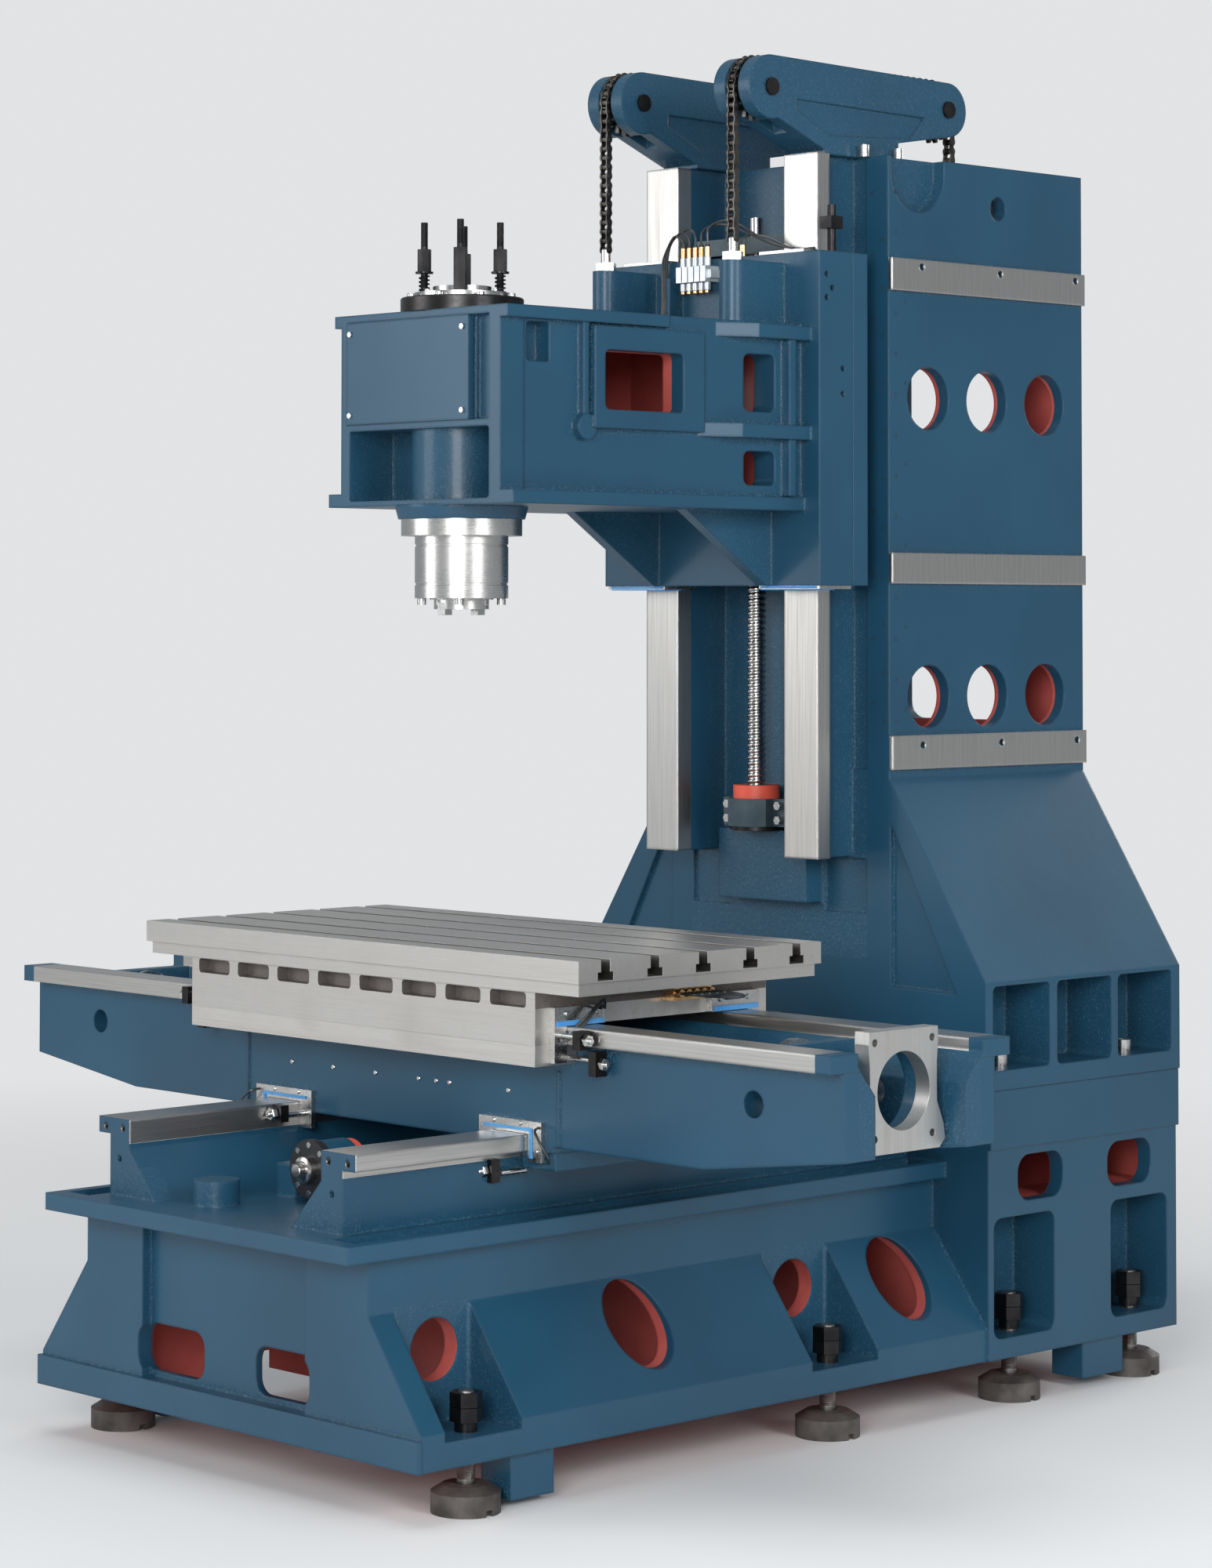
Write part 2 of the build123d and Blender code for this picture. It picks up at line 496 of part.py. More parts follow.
with BuildPart() as column_bolts:
    spots = [(s * (plinth_x - 48), (y[0] + y[1]) / 2)
             for s in sides for y in (cell_y[0], cell_y[2])]
    rounds(level(cell_col_z[0]), 20, 15, spots)
    rounds(level(block_top + 0.5), cell_col_z[0] - block_top, 8.9, spots)
    hexes(level(cell_col_z[0] + 12), 10, 14, spots, Mode.SUBTRACT)
finish(column_bolts, "column_bolts")

# Lower bearing of the Z screw on the boss pad, collar under it and bumper over it
with BuildPart() as z_bearing_bracket:
    prism(level(z_bracket_z[0]), z_bracket_z[1] - z_bracket_z[0], [
        (-72, col_y0), (-72, 318), (-42, 318), (-42, 300), (-24, 278), (24, 278), (42, 300),
        (42, 318), (72, 318), (72, col_y0)])
    rounds(level(z_bracket_z[0] - 1), 60, screw_r + 0.05, [(0, z_screw_y)], Mode.SUBTRACT)
finish(z_bearing_bracket, "z_bearing_bracket")

with BuildPart() as z_bracket_bolts:
    hexes(front(318), 9, 13, [(s * 58, z) for s in sides for z in (923, 947)])
finish(z_bracket_bolts, "z_bracket_bolts")

with BuildPart() as z_collar:
    turned((0, z_screw_y, 905), (0, 0, 1), [
        (screw_r + 1, 0), (44, 0), (44, z_bracket_z[0] - 905), (screw_r + 1, z_bracket_z[0] - 905)])
finish(z_collar, "z_collar")

with BuildPart() as z_bumper:
    turned((0, z_screw_y, z_bracket_z[1]), (0, 0, 1), [
        (screw_r + 1.5, 0), (39, 0), (39, 22), (screw_r + 1.5, 22)])
finish(z_bumper, "z_bumper")

with BuildPart() as z_top_bearing:
    block((-zway_x0 + 18, zway_x0 - 18), (282, col_y0), z_top_z)
    rounds(level(z_top_z[0] - 1), 60, screw_r + 0.05, [(0, z_screw_y)], Mode.SUBTRACT)
finish(z_top_bearing, "z_top_bearing")

with BuildPart() as z_ball_screw:
    rounds(level(z_bracket_z[0]), z_top_z[1] - z_bracket_z[0], screw_r, [(0, z_screw_y)])
    rounds(level(z_top_z[1]), 36, 11, [(0, z_screw_y)])
finish(z_ball_screw, "z_ball_screw")

# Headstock: flared box arm on a slide that wraps the Z ways
with BuildPart() as headstock_casting:
    prism(level(head_z0), head_z1 - head_z0, [
        (-box_x, head_front), (box_x, head_front), (arm_x, slide_y0 + 5), (-arm_x, slide_y0 + 5)])
    block((-slide_x, slide_x), (slide_y0, zway_y0 - film), (slide_z0, slide_z1))
    for x in both(zway_x1 + film, slide_x):
        block(x, (zway_y0 - film - 1, zway_y1 + film), (slide_z0, slide_z1))
    # Hollow of the arm behind the spindle bearing
    block((-box_x + wall_thin, box_x - wall_thin), (-225, slide_y0 - 30),
          (head_z0 + wall_thin, head_z1 - wall_thin), Mode.SUBTRACT)
    for s in sides:
        # Gusset under the arm
        x0, x1 = sorted((s * 118, s * 140))
        prism(flank(x0), x1 - x0, [(10, head_z0 + 2), (slide_y0 + 2, head_z0 + 2),
                                   (slide_y0 + 2, slide_z0), (slide_y0 - 12, slide_z0)])
        # Flange strips and frames on the flank
        for y, z, t in [((head_front, -384), (head_z0, head_z1), 6),
                        ((head_front, -85), (1715, head_z1), 8),
                        ((head_front, slide_y0), (head_z0, 1453), 8),
                        ((-251, -9), (1552, 1710), 7)]:
            reach = t + (y[1] - head_front) * (arm_x - box_x) / (slide_y0 - head_front)
            prism(flank(s * (box_x - 10)), s * (10 + reach), [
                (y[0], z[0]), (y[1], z[0]), (y[1], z[1]), (y[0], z[1])])
        for z, y_end in [((1707, 1729), 19), ((1546, 1568), -19)]:
            prism(level(z[0]), z[1] - z[0], [
                (s * 180, y_end), (s * 196, y_end), (s * 228, y_end + 70),
                (s * 228, slide_y0 + 2), (s * 180, slide_y0 + 2)])
        block((s * 190, s * 222), (166, 182), (1455, 1707))
        rounds(flank(s * 176), s * 22, 20, [(-262, 1553)])
        block((s * 176, s * 196), (-269, -257), (1553, 1715))
        window(flank(s * 130), s * 90, (-229, -57), (1581, 1674), Mode.SUBTRACT, 10)
        window(flank(s * 150), s * 60, (-374, -328), (1651, 1712), Mode.SUBTRACT, 6)
        window(flank(s * 150), s * 80, (82, 151), (1471, 1526), Mode.SUBTRACT, 12)
        rounds(flank(s * (slide_x - 12)), s * 20, 5,
               [(228, 1815), (241, 1793), (228, 1777), (266, 1663), (266, 1622)], Mode.SUBTRACT)
        # Bosses that carry the chain anchors, and ribs on the slide wall
        x0, x1 = sorted((s * (chain_x - anchor_boss), s * (chain_x + anchor_boss)))
        block((x0, x1), (front_pin_y - sprocket_r, slide_y0 + 2), (head_z1 - 2, anchor_z[0]))
        rounds(level(head_z1 - 2), anchor_z[0] - head_z1 + 2, anchor_boss,
               [(s * chain_x, front_pin_y - sprocket_r)])
        block((s * 62, s * 70), (178, slide_y0 + 1), (head_z1 - 2, anchor_z[0] - 12))
    window(flank(150), 80, (82, 151), (1589, 1682), Mode.SUBTRACT, 12)
    # Front: pocket under the cover plate and the cored slot beside it
    window(front(head_front + 12), 20, (cover_x[0], 160), cover_z, Mode.SUBTRACT)
    window(front(head_front + 20), 30, (118, 158), cover_z, Mode.SUBTRACT, 5)
    window(front(head_front + 92), 100, (-165, 160), (1441, 1551), Mode.SUBTRACT, 6)
    rounds(level(1436), 120, 78, [(0, spindle_y)])
    # Boss under the spindle and the bore for its cartridge
    turned((0, spindle_y, head_z0), (0, 0, -1), [
        (0, -2), (boss_r, -2), (boss_r, 2), (boss_r - 5, 20), (0, 20)])
    rounds(level(head_z0 - 25), 340, quill_r + 0.5, [(0, spindle_y)], Mode.SUBTRACT)
    # Nut housing of the Z screw
    block((-58, 58), (zway_y0 - film - 2, 366), (1440, 1580))
    rounds(level(1430), 160, 26, [(0, z_screw_y)], Mode.SUBTRACT)
finish(headstock_casting, "headstock_casting")

with BuildPart() as z_nut:
    turned((0, z_screw_y, 1440), (0, 0, 1), [
        (screw_r + 0.05, -12), (36, -12), (36, -seat), (26 - seat, -seat), (26 - seat, 90),
        (screw_r + 0.05, 90)])
finish(z_nut, "z_nut")

with BuildPart() as slide_keepers:
    for x in both(zweb_x1 + 1, slide_x):
        block(x, (zway_y1 + film, head_keeper_y), (slide_z0, slide_z1))
finish(slide_keepers, "slide_keepers")

with BuildPart() as slide_wipers:
    for x in both(zway_x0 - 14, slide_x - 4):
        block(x, (slide_y0 + 4, zway_y1), (slide_z0 - 5.4, slide_z0))
    for x in both(zway_x0 - 14, zway_x1 + 12):
        block(x, (slide_y0 + 4, zway_y1), (slide_z1, slide_z1 + 5.4))
    for x in both(zway_x0 - 1, zway_x1 + 1):
        block(x, (zway_y0 - 1, zway_y1 + 1), (slide_z0 - 6, slide_z1 + 6), Mode.SUBTRACT)
finish(slide_wipers, "slide_wipers")

with BuildPart() as front_cover:
    window(front(head_front + 12), 12 + 1.5, (cover_x[0] + 0.3, cover_x[1]),
           (cover_z[0] + 0.3, cover_z[1] - 0.3), Mode.ADD)
finish(front_cover, "front_cover")

with BuildPart() as cover_screws:
    for x, z in [(-161, 1704), (102, 1704), (-161, 1576), (102, 1576)]:
        rounds(front(head_front - 1.5), 3.5, 4.5, [(x, z)])
finish(cover_screws, "cover_screws")

# Spindle cartridge in the head, its bolts and the turning shaft with drive keys
nose_low = 1289.0
with BuildPart() as spindle_cartridge:
    turned((0, spindle_y, 0), (0, 0, 1), [
        (shaft_r + 0.05, nose_low), (nose_r, nose_low), (nose_r, 1309), (nose_r - 1.5, 1309),
        (nose_r - 1.5, 1313), (nose_r, 1313), (nose_r, 1369), (nose_r - 1.5, 1369),
        (nose_r - 1.5, 1373), (nose_r, 1373), (nose_r, 1386), (spindle_flange_r, 1386),
        (spindle_flange_r, 1412), (quill_r, 1412), (quill_r, head_z1 - 2),
        (shaft_r + 0.05, head_z1 - 2)])
finish(spindle_cartridge, "spindle_cartridge")

with BuildPart() as nose_bolts:
    with BuildSketch(level(nose_low)) as heads:
        with Locations((0, spindle_y)):
            with PolarLocations(62, 4, start_angle=45):
                Circle(7)
    extrude(heads.sketch, amount=10, dir=(0, 0, -1))
finish(nose_bolts, "nose_bolts")

with BuildPart() as spindle_shaft:
    turned((0, spindle_y, 0), (0, 0, 1), [
        (22.2, shaft_low_z), (shaft_low_r, shaft_low_z), (shaft_low_r, nose_low - 2),
        (shaft_r, nose_low - 2), (shaft_r, head_z1 - 4), (10, head_z1 - 4), (10, 1400)])
    block((-8.2, 8.2), (spindle_y - 50, spindle_y - 26), (shaft_low_z - 1, shaft_low_z + 10),
          Mode.SUBTRACT)
    block((-8.2, 8.2), (spindle_y + 26, spindle_y + 50), (shaft_low_z - 1, shaft_low_z + 10),
          Mode.SUBTRACT)
finish(spindle_shaft, "spindle_shaft")

with BuildPart() as drive_keys:
    for s in sides:
        block((-8, 8), (spindle_y + s * 27, spindle_y + s * 42), (shaft_low_z - 9, shaft_low_z + 10))
finish(drive_keys, "drive_keys")

# Top of the spindle: ring, collar and the rods that carry the drawbar cylinder
with BuildPart() as top_ring:
    turned((0, spindle_y, head_z1), (0, 0, 1), [(18, 0), (96.5, 0), (96.5, 21), (94.5, 23), (18, 23)])
finish(top_ring, "top_ring")

with BuildPart() as top_collar:
    turned((0, spindle_y, head_z1 + 23), (0, 0, 1), [
        (18, 0), (75, 0), (75, 8), (46, 8), (46, 18), (18, 18)])
finish(top_collar, "top_collar")

rods = [(s * rod_off, spindle_y + t * rod_off) for s in sides for t in sides]
high_rods = [(rod_off, spindle_y - rod_off), (-rod_off, spindle_y + rod_off)]
low_rods = [(-rod_off, spindle_y - rod_off), (rod_off, spindle_y + rod_off)]
with BuildPart() as tie_rods:
    rounds(level(head_z1 + 31), rod_top - head_z1 - 31, rod_r, rods)
finish(tie_rods, "tie_rods")

with BuildPart() as rod_nuts:
    hexes(level(head_z1 + 32), 66, 19, high_rods)
    hexes(level(1799), 35, 19, low_rods)
    rounds(level(1796), 3, 14, low_rods)
    rounds(level(head_z1 + 30), 110, rod_r + 0.1, rods, Mode.SUBTRACT)
finish(rod_nuts, "rod_nuts")

with BuildPart() as rod_springs:
    rounds(level(head_z1 + 31), 1796 - head_z1 - 31, 9, low_rods)
    rounds(level(head_z1 + 30), 60, rod_r + 0.1, low_rods, Mode.SUBTRACT)
finish(rod_springs, "rod_springs")

# Lubrication manifold on the slide wall and its fittings
with BuildPart() as lube_manifold:
    for i in range(5):
        block((-47 + 14 * i, -35.4 + 14 * i), (178, slide_y0), (1814, 1840), Mode.ADD)
    block((-50, 26), (186, slide_y0), (1820, 1834))
finish(lube_manifold, "lube_manifold")

with BuildPart() as manifold_fittings:
    for i in range(5):
        rounds(level(1840), 32, 4.5, [(-41.2 + 14 * i, 190)])
        rounds(level(1796), 18, 4.5, [(-41.2 + 14 * i, 190)])
    rounds(level(slide_z1), 22, 5.5, [(55, 232)])
finish(manifold_fittings, "manifold_fittings")

with BuildPart() as head_gib_adjuster:
    rounds(level(slide_z1), 78, 7, [(226, 262)])
    block((212, 238), (248, 276), (1892, 1912))
finish(head_gib_adjuster, "head_gib_adjuster")

with BuildPart() as chain_anchors:
    hexes(level(anchor_z[0]), 14, anchor_af, [(s * chain_x, front_pin_y - sprocket_r) for s in sides])
    rounds(level(anchor_z[1]), 22, 8, [(s * chain_x, front_pin_y - sprocket_r) for s in sides])
finish(chain_anchors, "chain_anchors")

# Chain brackets: two cheeks over a foot, slotted at both ends for the sprockets
front_end_r, rear_end_r = 52.0, 46.0
for s, name in ((-1, "chain_bracket_left"), (1, "chain_bracket_right")):
    with BuildPart() as bracket:
        centre = s * chain_x
        with BuildSketch(flank(centre - cheek_x)) as cheek:
            with Locations((front_pin_y, pin_z)):
                Circle(front_end_r)
            with Locations((rear_pin_y, pin_z)):
                Circle(rear_end_r)
            with BuildLine():
                Polyline((front_pin_y, pin_z + front_end_r), (rear_pin_y, pin_z + rear_end_r),
                         (rear_pin_y + 8, pin_z - rear_end_r + 1), (470, 2052), (470, col_top),
                         (290, col_top), (290, 2026), (front_pin_y + 16, pin_z - 49), close=True)
            make_face()
        extrude(cheek.sketch, amount=2 * cheek_x, dir=(1, 0, 0))
        # Slots for the sprockets and the chain, and the shallow panel on each cheek
        for pin_y, reach in ((front_pin_y, -80), (rear_pin_y, 80)):
            y0, y1 = sorted((pin_y + reach, pin_y - math.copysign(64, reach)))
            block((centre - chain_gap / 2, centre + chain_gap / 2), (y0, y1),
                  (pin_z - 80, pin_z + 80), Mode.SUBTRACT)
        block((centre - chain_gap / 2, centre + chain_gap / 2), (front_pin_y, rear_pin_y),
              (pin_z + 22, pin_z + 80), Mode.SUBTRACT)
        for face in (-1, 1):
            prism(flank(centre + face * (cheek_x - 4)), face * 10, [
                (front_pin_y + 60, 2104), (front_pin_y + 60, 2086), (300, 2050), (500, 2062),
                (rear_pin_y - 60, 2100)], Mode.SUBTRACT)
        rounds(flank(centre - cheek_x - 1), 2 * cheek_x + 2, pin_r + 0.05,
               [(front_pin_y, pin_z), (rear_pin_y, pin_z)], Mode.SUBTRACT)
    finish(bracket, name)

with BuildPart() as bracket_bolts:
    for s in sides:
        rounds(level(col_top), 20, 8, [(s * (chain_x + cheek_x + 14), y) for y in (369, 453)])
finish(bracket_bolts, "bracket_bolts")

with BuildPart() as sprocket_pins:
    for s in sides:
        rounds(flank(s * chain_x - cheek_x - 5), 2 * cheek_x + 10, pin_r,
               [(front_pin_y, pin_z), (rear_pin_y, pin_z)])
finish(sprocket_pins, "sprocket_pins")

for pin_y, name in ((front_pin_y, "front_sprockets"), (rear_pin_y, "rear_sprockets")):
    with BuildPart() as sprocket:
        for s in sides:
            turned((s * chain_x, pin_y, pin_z), (1, 0, 0), [
                (pin_r + 0.05, -13), (24, -13), (24, -4), (sprocket_r - chain_half - chain_air, -4),
                (sprocket_r - chain_half - chain_air, 4), (24, 4), (24, 13), (pin_r + 0.05, 13)])
    finish(sprocket, name)

# Chains: the run over both sprockets stays, the hanging runs lengthen and shorten
with BuildPart() as chain_tops:
    for s in sides:
        with BuildSketch(flank(s * chain_x - chain_w / 2)) as band:
            with Locations((front_pin_y, pin_z), (rear_pin_y, pin_z)):
                Circle(sprocket_r + chain_half)
            with Locations(((front_pin_y + rear_pin_y) / 2, pin_z + sprocket_r)):
                Rectangle(rear_pin_y - front_pin_y, 2 * chain_half)
            with Locations((front_pin_y, pin_z), (rear_pin_y, pin_z)):
                Circle(sprocket_r - chain_half, mode=Mode.SUBTRACT)
            with Locations(((front_pin_y + rear_pin_y) / 2, pin_z - 60)):
                Rectangle(rear_pin_y - front_pin_y + 200, 120, mode=Mode.SUBTRACT)
            with Locations(((front_pin_y + rear_pin_y) / 2, pin_z + sprocket_r / 2 - chain_half / 2)):
                Rectangle(rear_pin_y - front_pin_y, sprocket_r - chain_half, mode=Mode.SUBTRACT)
        extrude(band.sketch, amount=chain_w, dir=(1, 0, 0))
finish(chain_tops, "chain_tops")

for name, y, z0 in (("chain_front", front_pin_y - sprocket_r, anchor_z[1] + 22),
                    ("chain_rear", rear_pin_y + sprocket_r, weight_z[1] + 30)):
    with BuildPart() as run:
        for s in sides:
            block((s * chain_x - chain_w / 2, s * chain_x + chain_w / 2),
                  (y - chain_half, y + chain_half), (z0, pin_z))
    finish(run, name)

with BuildPart() as counterweight:
    block((-weight_x, weight_x), weight_y, weight_z)
    for s in sides:
        rounds(level(weight_z[1] - 1), 31, 12, [(s * chain_x, rear_pin_y + sprocket_r)])
finish(counterweight, "counterweight")
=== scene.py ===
"""Dresses a vertical machining centre: paint, ground ways, threads, chains and oil lines."""
from __future__ import annotations

import logging
import math
from dataclasses import dataclass, field
from enum import Enum
from typing import Any, Callable, Sequence

import bpy
from mathutils import Matrix, Vector


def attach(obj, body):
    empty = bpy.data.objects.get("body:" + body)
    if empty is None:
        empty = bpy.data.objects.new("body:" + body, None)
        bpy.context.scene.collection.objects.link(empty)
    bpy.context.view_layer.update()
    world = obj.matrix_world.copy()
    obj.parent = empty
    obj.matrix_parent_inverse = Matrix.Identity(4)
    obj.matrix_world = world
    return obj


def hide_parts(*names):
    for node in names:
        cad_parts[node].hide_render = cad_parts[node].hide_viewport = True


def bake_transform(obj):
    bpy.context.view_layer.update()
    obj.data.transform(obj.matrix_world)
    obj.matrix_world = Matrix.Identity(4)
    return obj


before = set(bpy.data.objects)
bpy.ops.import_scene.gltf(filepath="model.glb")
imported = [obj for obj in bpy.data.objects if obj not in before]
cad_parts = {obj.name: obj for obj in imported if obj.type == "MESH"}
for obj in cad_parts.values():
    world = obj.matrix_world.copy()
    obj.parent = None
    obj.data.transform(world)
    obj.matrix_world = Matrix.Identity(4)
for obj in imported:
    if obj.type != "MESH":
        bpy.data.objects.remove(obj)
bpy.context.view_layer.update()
LOG = logging.getLogger("machining_centre")
Point = Sequence[float]
Colour = tuple[float, float, float]
Profile = Sequence[tuple[float, float]]
MM = 0.001
SIDES = (-1, 1)
CROSS_Y = -317.5    # middle of the saddle, the table and the X screw
SADDLE_HALF = 157.0  # from that middle to the saddle's front and back faces
SPINDLE_Y = -344.0  # the spindle's axis


class Body(str, Enum):
    """The rigid bodies that a piece can ride on."""

    FRAME = "frame"
    SADDLE = "saddle"
    TABLE = "table"
    HEAD = "head"
    X_SCREW = "x_screw"
    Y_SCREW = "y_screw"
    Z_SCREW = "z_screw"
    FRONT_WHEELS = "front_wheels"
    REAR_WHEELS = "rear_wheels"
    WEIGHT = "balance_weight"


class Grain(Enum):
    """The way that the tool marks of a ground face run, as noise scales along X, Y and Z."""

    ALONG_X = (6.0, 320.0, 320.0)
    ALONG_Y = (320.0, 6.0, 320.0)
    ALONG_Z = (320.0, 320.0, 6.0)
    ROUND = (90.0, 90.0, 500.0)


def math_operator(operation: str, swap: bool = False) -> Callable[["Wire", Any], "Wire"]:
    """Give an operator method that adds one Math node, with the operands swapped if asked."""
    def method(wire: Wire, other: Any) -> Wire:
        """Add the node."""
        return wire.math(operation, other, swap)
    return method


class Wire:
    """A value, colour or vector on its way between shader nodes."""

    __add__ = __radd__ = math_operator("ADD")
    __sub__ = math_operator("SUBTRACT")
    __rsub__ = math_operator("SUBTRACT", swap=True)
    __mul__ = __rmul__ = math_operator("MULTIPLY")
    __gt__ = math_operator("GREATER_THAN")
    __lt__ = math_operator("LESS_THAN")
    __or__ = math_operator("MAXIMUM")

    def __init__(self, graph: "Graph", socket: bpy.types.NodeSocket) -> None:
        """Hold a socket and the graph that it belongs to."""
        self.graph = graph
        self.socket = socket

    def __abs__(self) -> "Wire":
        """Drop the sign."""
        return self.math("ABSOLUTE")

    def math(self, operation: str, other: Any = None, swap: bool = False) -> "Wire":
        """Add one Math node; swap puts the other operand, a number or a Wire, first."""
        terms = [self] if other is None else [other, self] if swap else [self, other]
        return self.graph.node("ShaderNodeMath", {"operation": operation}, terms)

    def between(self, low: float, high: float) -> "Wire":
        """Give 1 between two limits."""
        return (self > low) * (self < high)


Mask = Callable[["Shader"], Wire]


class Graph:
    """A tree of nodes that starts empty."""

    def __init__(self, tree: bpy.types.NodeTree) -> None:
        """Empty the tree."""
        self.nodes, self.links = tree.nodes, tree.links
        self.nodes.clear()

    def node(self, kind: str, settings: dict[str, Any], values: Sequence[Any],
             output: int | str = 0) -> Wire:
        """Add any node.

        Args:
            kind: The node's type.
            settings: Its properties, set before its sockets.
            values: What goes into its inputs in order; None leaves one alone.
            output: Which output to hand back.

        Returns:
            The chosen output.
        """
        node = self.nodes.new(kind)
        for key, value in settings.items():
            setattr(node, key, value)
        for socket, value in zip(node.inputs, values):
            if isinstance(value, Wire):
                self.links.new(value.socket, socket)
            elif value is not None:
                socket.default_value = value
        return Wire(self, node.outputs[output])

    def split(self, vector: Wire) -> list[Wire]:
        """Give a vector's three parts."""
        node = self.node("ShaderNodeSeparateXYZ", {}, [vector]).socket.node
        return [Wire(self, part) for part in node.outputs]

    def end(self, kind: str, surface: Wire) -> None:
        """Add the output node."""
        self.links.new(surface.socket, self.nodes.new(kind).inputs[0])


class Shader(Graph):
    """One material and the nodes that it is made of."""

    def __init__(self, name: str) -> None:
        """Start an empty material with a Principled surface."""
        self.material = bpy.data.materials.new(name)
        self.material.use_nodes = True
        super().__init__(self.material.node_tree)
        self.surface = self.nodes.new("ShaderNodeBsdfPrincipled")
        self.end("ShaderNodeOutputMaterial", Wire(self, self.surface.outputs[0]))
        self.place = self.node("ShaderNodeTexCoord", {}, [], output="Object")
        self.x, self.y, self.z = self.split(self.place)
        self.nx, self.ny, self.nz = self.split(
            self.node("ShaderNodeTexCoord", {}, [], output="Normal"))

    def mix(self, mask: Wire, low: Wire | Colour, high: Wire | Colour) -> Wire:
        """Mix two colours by a mask; low shows where the mask is 0."""
        ends = [end if isinstance(end, Wire) else (*end, 1.0) for end in (low, high)]
        return self.node("ShaderNodeMix", {"data_type": "RGBA"}, [mask, *[None] * 5, *ends], 2)

    def noise(self, scale: float | Point, detail: float = 3.0, rough: float = 0.5) -> Wire:
        """Add noise over the object's own coordinates.

        Args:
            scale: Waves per metre, one number or one for each axis.
            detail: Octaves.
            rough: Strength of the fine octaves.

        Returns:
            The noise's height, from 0 to 1.
        """
        where = self.place
        size = scale
        if not isinstance(scale, (int, float)):
            where = self.node("ShaderNodeVectorMath", {"operation": "MULTIPLY"},
                              [self.place, tuple(scale)])
            size = 1.0
        return self.node("ShaderNodeTexNoise", {}, [where, None, size, detail, rough])

    def ramp(self, value: Wire, low: float, high: float) -> Wire:
        """Stretch a value so that low gives 0 and high gives 1."""
        return self.node("ShaderNodeMapRange", {"clamp": True}, [value, low, high, 0.0, 1.0])

    def corner(self, reach: float) -> Wire:
        """Mark the inner corners, out to a distance in metres."""
        open_sky = self.node("ShaderNodeAmbientOcclusion", {"samples": 4}, [None, reach],
                             output="AO")
        return self.ramp(open_sky, 0.85, 0.35)

    def shape(self, height: Wire, strength: float, distance: float,
              rounding: float = 0.0) -> None:
        """Give the surface a bump, over softened edges if asked.

        Args:
            height: The bump's height.
            strength: The bump's strength.
            distance: The bump's depth in metres.
            rounding: Radius of the softened edges in metres.
        """
        edge = None
        if rounding:
            edge = self.node("ShaderNodeBevel", {"samples": 4}, [rounding])
        bump = self.node("ShaderNodeBump", {}, [strength, distance, None, height, edge])
        self.links.new(bump.socket, self.surface.inputs["Normal"])

    def veil(self, mask: Wire, colour: Colour, strength: float) -> None:
        """Let the surface fade into plain light where a mask says so."""
        output = self.surface.outputs[0].links[0].to_node
        light = self.node("ShaderNodeEmission", {}, [(*colour, 1.0), strength])
        mixed = self.node("ShaderNodeMixShader", {}, [
            mask, Wire(self, self.surface.outputs[0]), light])
        self.links.new(mixed.socket, output.inputs[0])

    def paint(self, **sockets: Any) -> None:
        """Set or link the surface's sockets, with _ for each space in a socket's name."""
        for name, value in sockets.items():
            socket = self.surface.inputs[name.replace("_", " ")]
            if isinstance(value, Wire):
                self.links.new(value.socket, socket)
            else:
                socket.default_value = (*value, 1.0) if isinstance(value, tuple) else value


def zone(shader: Shader, x: Point | None = None, y: Point | None = None,
         z: Point | None = None) -> Wire:
    """Mark the space between limits in millimetres, alike on the left and the right.

    Args:
        shader: The material.
        x: Limits of the distance from the middle plane.
        y: Limits along Y.
        z: Limits along Z.

    Returns:
        A mask that is 1 inside.
    """
    mask: Wire | None = None
    for axis, limits in ((abs(shader.x), x), (shader.y, y), (shader.z, z)):
        if limits is not None:
            part = axis.between(limits[0] * MM, limits[1] * MM)
            mask = part if mask is None else mask * part
    assert mask is not None
    return mask


def zones(shader: Shader, *boxes: tuple[Point | None, Point | None, Point | None]) -> Wire:
    """Mark the space inside any of several mirrored boxes, each given as for zone."""
    mask = zone(shader, *boxes[0])
    for box in boxes[1:]:
        mask = mask | zone(shader, *box)
    return mask


def everywhere(shader: Shader) -> Wire:
    """Mark the whole piece, since all of it lies above the floor."""
    return shader.z > 0


def nowhere(shader: Shader) -> Wire:
    """Mark nothing, since no piece is nine metres up."""
    return shader.z > 9


